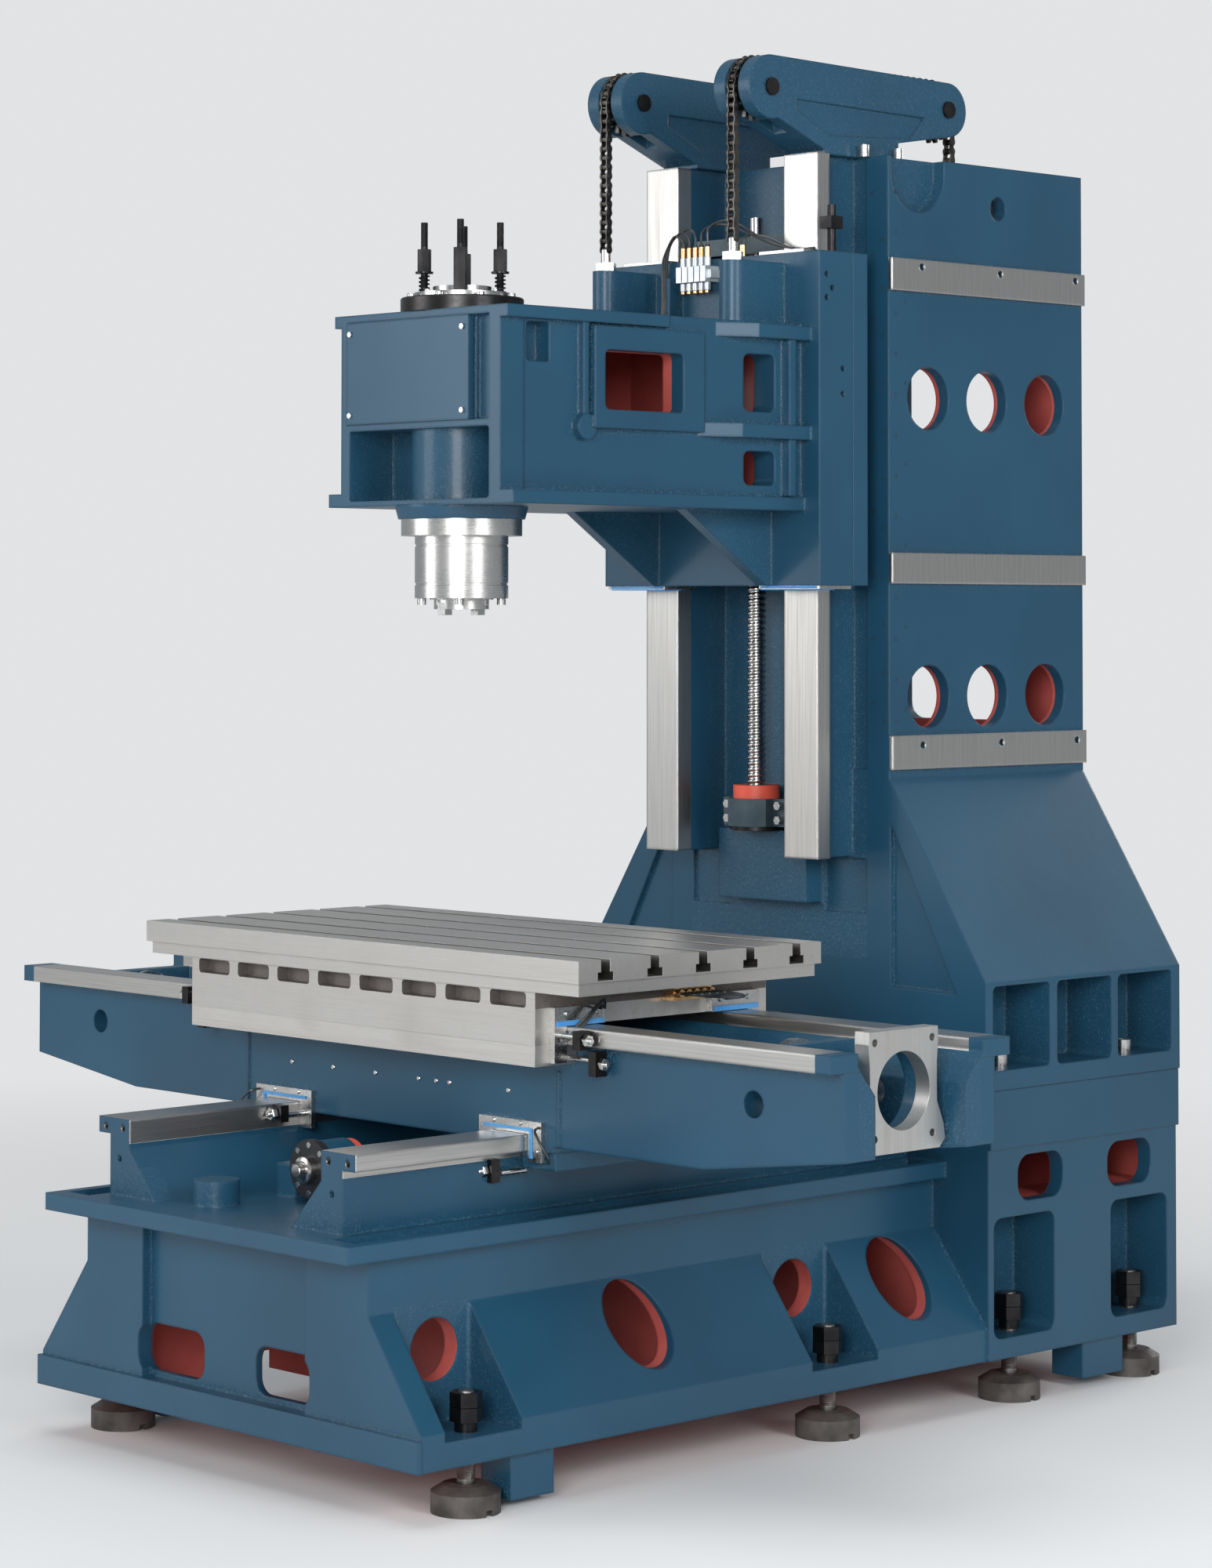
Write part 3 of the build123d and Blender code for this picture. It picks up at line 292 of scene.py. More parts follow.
@dataclass(frozen=True)
class CastPaint:
    """Thick gloss enamel over sand-cast iron, with bare ground and primed regions and painted
    glints.
    """

    colour: Colour = (0.0125, 0.071, 0.128)
    shade: Colour = (0.0085, 0.047, 0.090)
    painted_glint: Colour = (0.20, 0.30, 0.36)
    primer: Colour = (0.55, 0.115, 0.095)
    ground: Colour = (0.60, 0.585, 0.56)
    roughness: float = 0.40
    edge: float = 0.0055

    def material(self, name: str, bare: Mask | None = None, primed: Mask | None = None,
                 coarse: Mask | None = None, grain: Grain = Grain.ALONG_X) -> bpy.types.Material:
        """Make the paint for one casting.

        Args:
            name: The material's name.
            bare: Where the iron is ground and unpainted.
            primed: Where only the red primer shows.
            coarse: Where the cast skin stays rough under the paint, with painted glints speckled
                on the colour.
            grain: The way that the grinding marks run.

        Returns:
            The material.
        """
        s = Shader(name)
        cloud = s.ramp(s.noise(3.5, 4.0), 0.35, 0.7)
        skin = s.noise(150.0, 4.0, 0.6)
        highlight_speckles = s.ramp(s.noise(420.0, 2.0), 0.58, 0.75)
        rough_and_highlight_area = coarse(s) if coarse else s.ramp(s.noise(2.2, 2.0), 0.62, 0.7)
        colour = s.mix(cloud * 0.6, self.colour, self.shade)
        corner = s.corner(0.022)
        corner_highlight_speckles = s.ramp(s.noise(300.0, 2.0, 0.7), 0.52, 0.66)
        # Painted glints: lighter speckles on rough patches and in inner corners stand in for
        # highlights on the paint.
        colour = s.mix(highlight_speckles * rough_and_highlight_area * 0.3, colour, self.painted_glint)
        colour = s.mix(corner * corner_highlight_speckles * 0.55, colour, self.painted_glint)
        rough = self.roughness + (skin - 0.5) * 0.16 + rough_and_highlight_area * 0.06 - corner * 0.2
        height = skin * (0.16 + rough_and_highlight_area * 1.5 + corner * 2.0) + s.noise(38.0, 2.0) * 0.45
        metal: Any = 0.0
        if primed:
            mask = primed(s)
            stain = s.ramp(s.noise(9.0, 4.0), 0.3, 0.75)
            colour = s.mix(mask, colour, s.mix(stain, self.primer, (0.36, 0.06, 0.055)))
            rough = rough + mask * 0.32
        if bare:
            mask = bare(s)
            marks = s.noise(grain.value, 2.0, 0.6)
            steel = s.mix(s.ramp(marks, 0.3, 0.75), self.ground, (0.45, 0.44, 0.425))
            colour = s.mix(mask, colour, steel)
            rough = rough * (1 - mask) + mask * (0.26 + marks * 0.16)
            height = height * (1 - mask) + mask * marks * 0.12
            metal = mask
        s.paint(Base_Color=colour, Roughness=rough, Metallic=metal, Coat_Weight=0.22,
                Coat_Roughness=0.20, Specular_IOR_Level=0.34)
        s.shape(height, 0.32, 0.0016, self.edge)
        return s.material


@dataclass(frozen=True)
class GroundIron:
    """Bare iron or steel with the marks of grinding or turning."""

    colour: Colour = (0.62, 0.605, 0.58)
    stain: Colour = (0.42, 0.40, 0.375)
    roughness: float = 0.27
    grain: Grain = Grain.ALONG_X
    edge: float = 0.0008

    def material(self, name: str, cast: Mask | None = None,
                 painted_shade: Mask | None = None) -> bpy.types.Material:
        """Make the finish.

        Args:
            name: The material's name.
            cast: Where the cast skin was left as it came from the sand.
            painted_shade: Where oil and shade darken the metal.

        Returns:
            The material.
        """
        s = Shader(name)
        marks = s.noise(self.grain.value, 3.0, 0.65)
        streak = s.ramp(s.noise([v * 0.12 for v in self.grain.value], 4.0, 0.7), 0.42, 0.68)
        cloud = s.ramp(s.noise(7.0, 4.0), 0.42, 0.72) | (streak * 0.8)
        fine = s.noise(60.0, 3.0)
        colour = s.mix(cloud * 0.5 + s.ramp(marks, 0.45, 0.8) * 0.3, self.colour, self.stain)
        rough = self.roughness + marks * 0.18 + cloud * 0.1
        height = marks * 0.5 + fine * 0.12
        metal: Any = 1.0
        if painted_shade:
            # Painted shade: the slots below the table's top face are darkened.
            colour = s.mix(painted_shade(s) * 0.75, colour, (0.12, 0.115, 0.11))
        if cast:
            mask = cast(s)
            sand = s.noise(240.0, 4.0, 0.65)
            colour = s.mix(mask, colour, s.mix(sand, (0.10, 0.085, 0.075), (0.26, 0.235, 0.22)))
            rough = rough * (1 - mask) + mask * 0.62
            height = height * (1 - mask) + mask * sand * 3.0
            metal = 1 - mask * 0.55
        s.paint(Base_Color=colour, Roughness=rough, Metallic=metal)
        s.shape(height, 0.25, 0.0004, self.edge)
        return s.material


@dataclass(frozen=True)
class Plain:
    """A small part's finish: one tone with fine variation."""

    colour: Colour
    second: Colour
    roughness: float
    metal: float
    scale: float = 180.0
    bump: float = 0.15
    edge: float = 0.0006

    def material(self, name: str) -> bpy.types.Material:
        """Make the finish under a name."""
        s = Shader(name)
        grain = s.noise(self.scale, 3.0)
        cloud = s.ramp(s.noise(22.0, 3.0), 0.35, 0.7)
        s.paint(Base_Color=s.mix(cloud, self.colour, self.second),
                Roughness=self.roughness + (grain - 0.5) * 0.2, Metallic=self.metal)
        s.shape(grain, self.bump, 0.0006, self.edge)
        return s.material


OXIDE = Plain((0.018, 0.018, 0.020), (0.045, 0.043, 0.042), 0.34, 0.85)
STEEL = Plain((0.60, 0.60, 0.59), (0.44, 0.44, 0.43), 0.26, 1.0)
CHAIN = Plain((0.075, 0.070, 0.064), (0.16, 0.15, 0.14), 0.36, 1.0)
PAD_IRON = Plain((0.055, 0.048, 0.044), (0.14, 0.125, 0.115), 0.62, 0.5, 130.0, 0.7)
CORAL = Plain((0.80, 0.115, 0.065), (0.66, 0.085, 0.05), 0.48, 0.0)
BRASS = Plain((0.72, 0.44, 0.20), (0.86, 0.62, 0.38), 0.27, 1.0)
ALLOY = Plain((0.66, 0.70, 0.72), (0.52, 0.56, 0.58), 0.34, 0.6)
SEAL_BLUE = Plain((0.06, 0.26, 0.60), (0.10, 0.36, 0.70), 0.42, 0.0)
LINE_GREY = Plain((0.055, 0.060, 0.062), (0.12, 0.125, 0.125), 0.32, 0.7)
# Painted shade: near-black colour for the inside of tapped holes.
HOLE_SHADE = Plain((0.012, 0.012, 0.014), (0.03, 0.03, 0.032), 0.6, 0.3)
BEARING = Plain((0.030, 0.055, 0.072), (0.055, 0.085, 0.10), 0.34, 0.3, 160.0, 0.35)


def directions(axis: Point) -> tuple[Vector, Vector, Vector]:
    """Give the unit vector along an axis and two across it."""
    way = Vector(axis).normalized()
    side = way.orthogonal().normalized()
    return way, side, way.cross(side)


class Form:
    """Collects the faces of one piece before it becomes an object."""

    groove_share = 0.32  # half the width of a ball groove, as a share of its lead
    pipe_steps = 8       # points that a pipe gets between two given ones
    sharp_from = math.radians(35)

    def __init__(self) -> None:
        """Start empty."""
        self.points: list[Vector] = []
        self.faces: list[tuple[int, ...]] = []

    def add(self, points: Sequence[Point], faces: Sequence[Sequence[int]]) -> None:
        """Add points in millimetres and the faces between them."""
        base = len(self.points)
        self.points += [Vector(p) * MM for p in points]
        self.faces += [tuple(base + i for i in face) for face in faces]

    def slab(self, low: Point, high: Point) -> None:
        """Add a box between two opposite corners, given in any order."""
        xs, ys, zs = (sorted(pair) for pair in zip(low, high))
        points = [(x, y, z) for x in xs for y in ys for z in zs]
        self.add(points, [(0, 1, 3, 2), (4, 6, 7, 5), (0, 4, 5, 1), (2, 3, 7, 6),
                          (0, 2, 6, 4), (1, 5, 7, 3)])

    def skin(self, rings: Sequence[Point], around: int) -> None:
        """Add a closed skin over rings of points, with a cap at each end."""
        count = len(rings) // around - 1
        faces = [(k * around + i, k * around + (i + 1) % around,
                  (k + 1) * around + (i + 1) % around, (k + 1) * around + i)
                 for k in range(count) for i in range(around)]
        faces.append(tuple(reversed(range(around))))
        faces.append(tuple(range(count * around, (count + 1) * around)))
        self.add([tuple(p) for p in rings], faces)

    def turn(self, start: Point, axis: Point, profile: Profile,
             around: int = 20) -> None:
        """Add a turned solid.

        Args:
            start: A point on the axis.
            axis: The axis's direction.
            profile: Pairs of radius and distance along the axis, from end to end.
            around: How many faces go round.
        """
        way, side, other = directions(axis)
        self.skin([Vector(start) + way * d + (side * math.cos(a) + other * math.sin(a)) * r
                   for r, d in profile
                   for a in (math.tau * i / around for i in range(around))], around)

    def thread(self, start: Point, axis: Point, length: float, radius: float, depth: float,
               lead: float, step: float, around: int = 28, ball: bool = True) -> None:
        """Add a rod with a helical groove.

        Args:
            start: Where the thread begins.
            axis: Its direction.
            length: Its length.
            radius: Outer radius.
            depth: Depth of the groove.
            lead: Advance of the groove per turn.
            step: Distance between rings.
            around: How many faces go round.
            ball: Whether the groove is round with a flat land, or a plain vee.
        """
        way, side, other = directions(axis)
        count = int(length / step)
        points = []
        for k in range(count + 1):
            d = length * k / count
            for i in range(around):
                turn = i / around
                phase = (d / lead - turn) % 1.0
                if ball:
                    off = abs(phase - 0.5) / self.groove_share
                    drop = depth * math.sqrt(max(0.0, 1 - off * off)) if off < 1 else 0.0
                else:
                    drop = depth * (1 - abs(2 * phase - 1))
                if k in (0, count):
                    drop = depth
                a = math.tau * turn
                points.append(Vector(start) + way * d
                              + (side * math.cos(a) + other * math.sin(a)) * (radius - drop))
        self.skin(points, around)

    def plate(self, outline: Profile, origin: Point, u: Point, v: Point,
              depth: float) -> None:
        """Add a flat plate.

        Args:
            outline: The plate's outline along u and v.
            origin: Where the outline's zero lies, on the plate's first face.
            u: Direction of the outline's first number.
            v: Direction of its second.
            depth: Thickness, towards u cross v.
        """
        across, up = Vector(u), Vector(v)
        way = across.cross(up).normalized() * depth
        base = [Vector(origin) + across * a + up * b for a, b in outline]
        n = len(base)
        faces = [tuple(reversed(range(n))), tuple(range(n, 2 * n))]
        faces += [(i, (i + 1) % n, n + (i + 1) % n, n + i) for i in range(n)]
        self.add([tuple(p) for p in base + [p + way for p in base]], faces)

    def tube(self, route: Sequence[Point], radius: float, around: int = 8) -> None:
        """Add a thin pipe along a smooth line through the given points."""
        dense: list[Vector] = []
        pts = [Vector(p) for p in route]
        padded = [pts[0] * 2 - pts[1]] + pts + [pts[-1] * 2 - pts[-2]]
        for k in range(1, len(padded) - 2):
            p0, p1, p2, p3 = padded[k - 1:k + 3]
            for i in range(self.pipe_steps):
                t = i / self.pipe_steps
                dense.append(0.5 * ((2 * p1) + (p2 - p0) * t
                                    + (2 * p0 - 5 * p1 + 4 * p2 - p3) * t * t
                                    + (3 * p1 - p0 - 3 * p2 + p3) * t ** 3))
        dense.append(pts[-1])
        normal = (dense[1] - dense[0]).orthogonal().normalized()
        points = []
        for k, p in enumerate(dense):
            way = (dense[min(k + 1, len(dense) - 1)] - dense[max(k - 1, 0)]).normalized()
            normal = (normal - way * normal.dot(way)).normalized()
            other = way.cross(normal)
            points += [p + (normal * math.cos(a) + other * math.sin(a)) * radius
                       for a in (math.tau * i / around for i in range(around))]
        self.skin(points, around)

    def piece(self, name: str, material: bpy.types.Material, body: Body | None,
              slot: str, replaces: Sequence[str] = ()) -> bpy.types.Object:
        """Turn what was collected into an object.

        Args:
            name: The piece's name.
            material: Its finish.
            body: The body that it rides on, or None for a piece left on no body.
            slot: Not used.
            replaces: CAD nodes that it stands for.

        Returns:
            The object.
        """
        mesh = bpy.data.meshes.new(name)
        mesh.from_pydata([tuple(p) for p in self.points], [], self.faces)
        mesh.validate()
        mesh.update()
        obj = bpy.data.objects.new(name, mesh)
        bpy.context.scene.collection.objects.link(obj)
        mesh.materials.append(material)
        mesh.shade_smooth()
        mesh.set_sharp_from_angle(angle=self.sharp_from)
        if body is not None:
            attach(obj, body.value)
        if replaces:
            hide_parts(*replaces)
        LOG.info("%s: %d faces", name, len(self.faces))
        return obj


@dataclass
class Castings:
    """Gives each painted or bare casting its finish."""

    paint: CastPaint = field(default_factory=CastPaint)

    def dress(self, node: str, material: bpy.types.Material) -> None:
        """Put a material on a CAD node."""
        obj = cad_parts[node]
        if not obj.material_slots:
            obj.data.materials.append(material)
        for slot in obj.material_slots:
            slot.material = material
        LOG.info("%s dressed", node)

    def cover(self, node: str, name: str, bare: Mask | None = None, primed: Mask | None = None,
              coarse: Mask | None = None, grain: Grain = Grain.ALONG_X) -> None:
        """Paint one casting; the masks are those of CastPaint."""
        self.dress(node, self.paint.material(f"{name}_paint", bare, primed, coarse, grain))

    def bed(self) -> None:
        """Paint the bed, leave its Y ways ground and its core primed."""
        def bare(s: Shader) -> Wire:
            """The Y ways."""
            ends = abs(s.ny) < 0.5
            return zone(s, (223.5, 299.6), (-816, 372), (464.5, 501)) * ends

        def primed(s: Shader) -> Wire:
            """The core under the ways and behind them."""
            reach = abs(s.x)
            slope = 0.440 - (s.z - 0.127).math("MAXIMUM", 0.0) * 0.7483
            skirt = slope.math("MAXIMUM", 0.327)
            under = (reach < skirt - 0.014) * zone(s, None, (-787.6, 372), (75.9, 357))
            lugs = zones(s, ((326, 460), (-771, -622), (112, 300)),
                         ((326, 460), (-19, 133), (112, 300)))
            rear = zone(s, (0, 417), (417, 847.5), (75.9, 477.5))
            pocket = zones(s, ((357, 460), (402, 556), (107, 301)),
                           ((357, 460), (699, 851), (107, 301)))
            return (under * (1 - lugs)) | (rear * (1 - pocket))

        def coarse(s: Shader) -> Wire:
            """The levelling pockets and the front recess."""
            return zones(s, ((326, 460), (-772, -621), (108, 285)),
                         ((326, 460), (-20, 134), (108, 285)),
                         ((350, 442), (398, 860), (100, 308)),
                         ((0, 283), (-870, -780), (383, 430)))

        self.cover("base_casting", "bed", bare, primed, coarse, Grain.ALONG_Y)

    def column(self) -> None:
        """Paint the column, leave its Z ways and side strips ground and its core primed."""
        def bare(s: Shader) -> Wire:
            """The Z ways and the side strips."""
            ways = zone(s, (122, 197.5), (250, 291), (866, 2021)) * (s.nz > -0.5)
            strips = zone(s, (249.2, 270), (300, 880), (1006, 1990)) * (abs(s.nz) < 0.5)
            return ways | strips

        def primed(s: Shader) -> Wire:
            """The inside of the walls."""
            skirt = 0.453 - (s.z - 0.677).math("MAXIMUM", 0.0) * 0.6375
            outer = skirt.math("MAXIMUM", 0.249) - 0.020
            low = (s.z < 0.70) * 0.345 + (s.z > 0.70) * 0.9
            return (abs(s.x) < outer) * (abs(s.x) < low) * zone(s, None, (402, 848), (532, 1880))

        def coarse(s: Shader) -> Wire:
            """The foot cells, the front web and the top."""
            return zones(s, ((352, 452), (388, 860), (530, 675)),
                         ((0, 200), (330, 384), (700, 2020)),
                         ((222, 248.6), (375, 520), (1925, 2021)))

        self.cover("column_casting", "column", bare, primed, coarse, Grain.ALONG_Z)

    def saddle(self) -> None:
        """Paint the saddle and leave its X ways ground."""
        def bare(s: Shader) -> Wire:
            """The X ways."""
            off = abs(s.y - CROSS_Y * MM)
            return off.between(0.1309, 0.1891) * zone(s, (0, 895), None, (642.3, 669)) * (
                abs(s.nx) < 0.5)

        def coarse(s: Shader) -> Wire:
            """The trough between the ways."""
            return abs(s.y - CROSS_Y * MM) < 0.128

        self.cover("saddle_casting", "saddle", bare, None, coarse)

    def head(self) -> None:
        """Paint the headstock, prime its core and keep its pockets rough."""
        def primed(s: Shader) -> Wire:
            """The hollow between the slides."""
            return zone(s, (0, 176), (-226, 181), (1451, 1715)) * (1 - zone(
                s, (157, 180), (70, 182), (1451, 1715)))

        def coarse(s: Shader) -> Wire:
            """The pockets."""
            return zones(s, ((0, 168), (-430, -330), (1437, 1560)),
                         ((0, 200), (60, 240), (1733, 1854)), ((0, 250), (60, 208), (1300, 1433)))

        self.cover("headstock_casting", "headstock", None, primed, coarse)
        for node, name, mask in (("front_cover", "cover", nowhere),
                                 ("chain_bracket_left", "bracket_left", everywhere),
                                 ("chain_bracket_right", "bracket_right", everywhere),
                                 ("slide_keepers", "keeper", nowhere)):
            self.cover(node, name, coarse=mask)

    def table(self) -> None:
        """Grind the table's faces and keep its side pockets as cast."""
        def cast(s: Shader) -> Wire:
            """The pockets of the sides."""
            off = abs(s.y - CROSS_Y * MM)
            return (off < 0.2416) * zone(s, (0, 397.3), None, (696.2, 719.3))

        def painted_shade(s: Shader) -> Wire:
            """The slots below the top face, darkened as painted shade."""
            off = abs(s.y - CROSS_Y * MM)
            return (off < 0.2535) * zone(s, (0, 499.3), None, (741, 771.4))

        ground = GroundIron(grain=Grain.ALONG_X)
        self.dress("table_casting", ground.material("table_iron", cast, painted_shade))
        self.dress("table_keepers", GroundIron(roughness=0.34).material("keeper_iron"))
        self.cover("saddle_keepers", "way_keeper")
        self.dress("x_motor_plate", GroundIron(
            colour=(0.66, 0.66, 0.64), roughness=0.33, grain=Grain.ALONG_Z).material("plate_iron"))

    def small_parts(self) -> None:
        """Give the remaining nodes their finishes."""
        turned = GroundIron(colour=(0.70, 0.69, 0.67), stain=(0.5, 0.49, 0.47),
                            roughness=0.14, grain=Grain.ROUND)
        self.dress("spindle_cartridge", turned.material("spindle_steel"))
        self.dress("spindle_shaft", turned.material("shaft_steel"))
        drum = Shader("y_drum")
        skin = drum.noise(150.0, 3.0)
        drum.paint(Base_Color=drum.mix(drum.y > -0.6355, OXIDE.colour, self.paint.colour),
                   Roughness=0.36 + (skin - 0.5) * 0.2, Metallic=0.1)
        drum.shape(skin, 0.2, 0.0006, 0.0008)
        self.dress("y_bearing", drum.material)
        groups: dict[Plain, tuple[str, ...]] = {
            OXIDE: ("z_collar", "top_ring", "tie_rods", "rod_nuts",
                    "levelling_nuts", "sprocket_pins", "head_gib_adjuster"),
            STEEL: ("y_bearing_bolts", "column_bolts", "z_bracket_bolts", "bracket_bolts",
                    "cover_screws", "nose_bolts", "drive_keys", "top_collar", "chain_anchors",
                    "saddle_wipers", "table_wipers", "slide_wipers", "y_nut", "x_nut", "z_nut",
                    "x_bearings"),
            PAD_IRON: ("levelling_pads", "counterweight"),
            CORAL: ("y_bumper", "z_bumper"),
            BRASS: ("table_manifold", "manifold_fittings"),
            ALLOY: ("lube_manifold",),
            BEARING: ("z_bearing_bracket", "z_top_bearing", "y_tail_bearing"),
        }
        for index, (finish, nodes) in enumerate(groups.items()):
            material = finish.material(f"small_finish_{index}")
            for node in nodes:
                self.dress(node, material)

    def build(self) -> None:
        """Dress every node that keeps its own shape."""
        self.bed()
        self.column()
        self.saddle()
        self.head()
        self.table()
        self.small_parts()


@dataclass
class BallScrews:
    """The three ball screws with their ground helical grooves."""

    radius: float = 16.0
    stub: float = 11.0
    depth: float = 2.3
    lead: float = 10.0
    z_axis_y: float = 322.6
    x_axis_z: float = 604.0
    y_axis_z: float = 434.0
    steel: bpy.types.Material = field(init=False)

    def screw(self, body: Body, start: Point, axis: Point, length: float, step: float,
              around: int, *ends: tuple[Point, Profile]) -> None:
        """Make one screw: a groove cut in rings, and the start and profile of each plain end."""
        form = Form()
        form.thread(start, axis, length, self.radius, self.depth, self.lead, step, around)
        for place, profile in ends:
            form.turn(place, axis, profile)
        form.piece(f"{body.value}_thread", self.steel, body, "steel",
                   [f"{body.value[0]}_ball_screw"])

    def build(self) -> None:
        """Make the three screws."""
        self.steel = Plain(
            (0.62, 0.60, 0.58), (0.42, 0.40, 0.38), 0.22, 1.0).material("screw_steel")
        full, stub, y, z = self.radius, self.stub, self.z_axis_y, self.x_axis_z
        self.screw(Body.Z_SCREW, (0, y, 980), (0, 0, 1), 880, 0.9, 28,
                   ((0, y, 912), [(14, 0), (full, 0.5), (full, 68.5)]),
                   ((0, y, 1859.5), [(full, 0), (full, 34.5), (stub, 34.5), (stub, 69.5),
                                     (10, 70.5)]))
        self.screw(Body.X_SCREW, (-820, CROSS_Y, z), (1, 0, 0), 1500, 1.4, 20,
                   ((-856, CROSS_Y, z), [(14, 0), (full, 1), (full, 36.5)]),
                   ((679.5, CROSS_Y, z), [(full, 0), (full, 38.5), (stub, 38.5), (stub, 73.5),
                                          (10, 74.5)]))
        z = self.y_axis_z
        self.screw(Body.Y_SCREW, (0, -565, z), (0, 1, 0), 894, 1.4, 20,
                   ((0, -676, z), [(9, 0), (10, 1), (10, 12), (17, 12), (20, 14), (20, 25.8),
                                   (full, 25.8), (full, 111.5)]),
                   ((0, 328.5, z), [(full, 0), (full, 41.5)]))


@dataclass
class Chains:
    """The two counterweight chains, link by link, and their toothed wheels."""

    chain_x: float = 147.0
    pitch_radius: float = 48.2
    pin_z: float = 2119.0
    front_y: float = 161.0
    rear_y: float = 597.0
    front_low: float = 1872.0
    rear_low: float = 1090.0
    pitch: float = 15.875
    teeth: int = 19
    plate_end: float = 6.7
    plate_waist: float = 4.7
    plate_depth: float = 1.7
    plate_offsets: tuple[float, float] = (5.0, 6.9)
    roller: tuple[float, float] = (5.0, 4.6)
    pin: tuple[float, float] = (2.6, 9.6)
    steel: bpy.types.Material = field(init=False)

    def link(self, form: Form, a: Vector, b: Vector, x: float, outer: bool) -> None:
        """Add two side plates and a roller with its pin.

        Args:
            form: The piece being collected.
            a: First pivot.
            b: Second pivot.
            x: The chain's middle plane.
            outer: Whether the plates are the outer pair.
        """
        way, pitch = (b - a).normalized(), (b - a).length
        side = Vector((1, 0, 0)).cross(way)
        outline = []
        for centre, turn, waist in ((0.0, 90, -self.plate_waist), (pitch, -90, self.plate_waist)):
            for k in range(6):
                angle = math.radians(turn + 180 * k / 5)
                outline.append((centre + self.plate_end * math.cos(angle),
                                self.plate_end * math.sin(angle)))
            outline.append((pitch / 2, waist))
        for s in SIDES:
            low = s * self.plate_offsets[outer] - (self.plate_depth if s < 0 else 0.0)
            form.plate(outline, tuple(a + Vector((x + low, 0, 0))), tuple(way), tuple(side),
                       self.plate_depth)
        for (radius, half), around in ((self.roller, 10), (self.pin, 8)):
            form.turn(tuple(a + Vector((x - half, 0, 0))), (1, 0, 0),
                      [(radius, 0), (radius, 2 * half)], around)

    def run(self, form: Form, pivots: Sequence[Vector]) -> None:
        """Add both chains along one row of pivots."""
        for s in SIDES:
            for i in range(len(pivots) - 1):
                self.link(form, pivots[i], pivots[i + 1], s * self.chain_x, i % 2 == 0)

    def wheel(self, form: Form, y: float, x: float) -> None:
        """Add one toothed wheel with its hub."""
        outline = []
        for k in range(self.teeth):
            for share, radius in ((-0.16, 43.4), (0.0, 42.9), (0.16, 43.4), (0.30, 48.4),
                                  (0.43, 53.0), (0.57, 53.0), (0.70, 48.4)):
                a = math.tau * (k + share) / self.teeth + math.pi
                outline.append((radius * math.cos(a), radius * math.sin(a)))
        form.plate(outline, (x - 4, y, self.pin_z), (0, 1, 0), (0, 0, 1), 8)
        for s in SIDES:
            form.turn((x + s * 3.5, y, self.pin_z), (s, 0, 0), [(26, 0), (26, 8), (24, 10)], 24)

    def hang(self, name: str, node: str, y: float, first: float,
             last: float) -> None:
        """Hang both chains between a wheel and the body they carry, from pivot to pivot."""
        form = Form()
        count = round(abs(last - first) / self.pitch)
        self.run(form, [Vector((0, y, first + (last - first) * i / count))
                        for i in range(count + 1)])
        piece = form.piece(name, self.steel, None, "black_oxide")
        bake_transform(piece)
        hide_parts(node)

    def over(self, s: float) -> Vector:
        """Give the point at a distance along the way over both wheels."""
        arc, flat = math.pi / 2 * self.pitch_radius, self.rear_y - self.front_y
        if arc <= s < arc + flat:
            return Vector((0, self.front_y + s - arc, self.pin_z + self.pitch_radius))
        y, a = self.front_y, math.pi - s / self.pitch_radius
        if s >= arc + flat:
            y, a = self.rear_y, math.pi / 2 - (s - arc - flat) / self.pitch_radius
        return Vector((0, y + self.pitch_radius * math.cos(a),
                       self.pin_z + self.pitch_radius * math.sin(a)))

    def build(self) -> None:
        """Make the runs and the wheels in place of the plain nodes."""
        self.steel = CHAIN.material("chain_steel")
        self.hang("front_links", "chain_front", self.front_y - self.pitch_radius,
                  self.front_low, self.pin_z)
        self.hang("rear_links", "chain_rear", self.rear_y + self.pitch_radius,
                  self.pin_z, self.rear_low)
        total = math.pi * self.pitch_radius + (self.rear_y - self.front_y)
        count = round(total / self.pitch)
        form = Form()
        self.run(form, [self.over(total * i / count) for i in range(count + 1)])
        form.piece("top_links", self.steel, Body.FRAME, "black_oxide", ["chain_tops"])
        for y, body, node in ((self.front_y, Body.FRONT_WHEELS, "front_sprockets"),
                              (self.rear_y, Body.REAR_WHEELS, "rear_sprockets")):
            form = Form()
            for s in SIDES:
                self.wheel(form, y, s * self.chain_x)
            form.piece(f"{node}_toothed", self.steel, body, "black_oxide", [node])


@dataclass
class Feet:
    """Threaded levelling screws."""

    places_x: float = 397.0
    places_y: tuple[float, ...] = (-692.0, 62.0, 496.0, 807.0)
    low: float = 22.0
    high: float = 170.0
    radius: float = 13.5

    def build(self) -> None:
        """Make the screws in place of the plain node."""
        steel = Plain((0.34, 0.32, 0.30), (0.20, 0.19, 0.18), 0.36, 1.0).material("stud_steel")
        form = Form()
        for x in (-self.places_x, self.places_x):
            for y in self.places_y:
                form.thread((x, y, self.low + 24), (0, 0, 1), self.high - self.low - 26,
                            self.radius, 1.3, 3.0, 0.75, 14, ball=False)
                form.turn((x, y, self.low), (0, 0, 1), [(12.5, 0), (13.0, 1), (13.0, 25)], 20)
                form.turn((x, y, self.high - 3), (0, 0, 1), [(12, 0), (12, 1.5), (10.5, 3)], 20)
        form.piece("levelling_studs", steel, Body.FRAME, "steel", ["levelling_screws"])


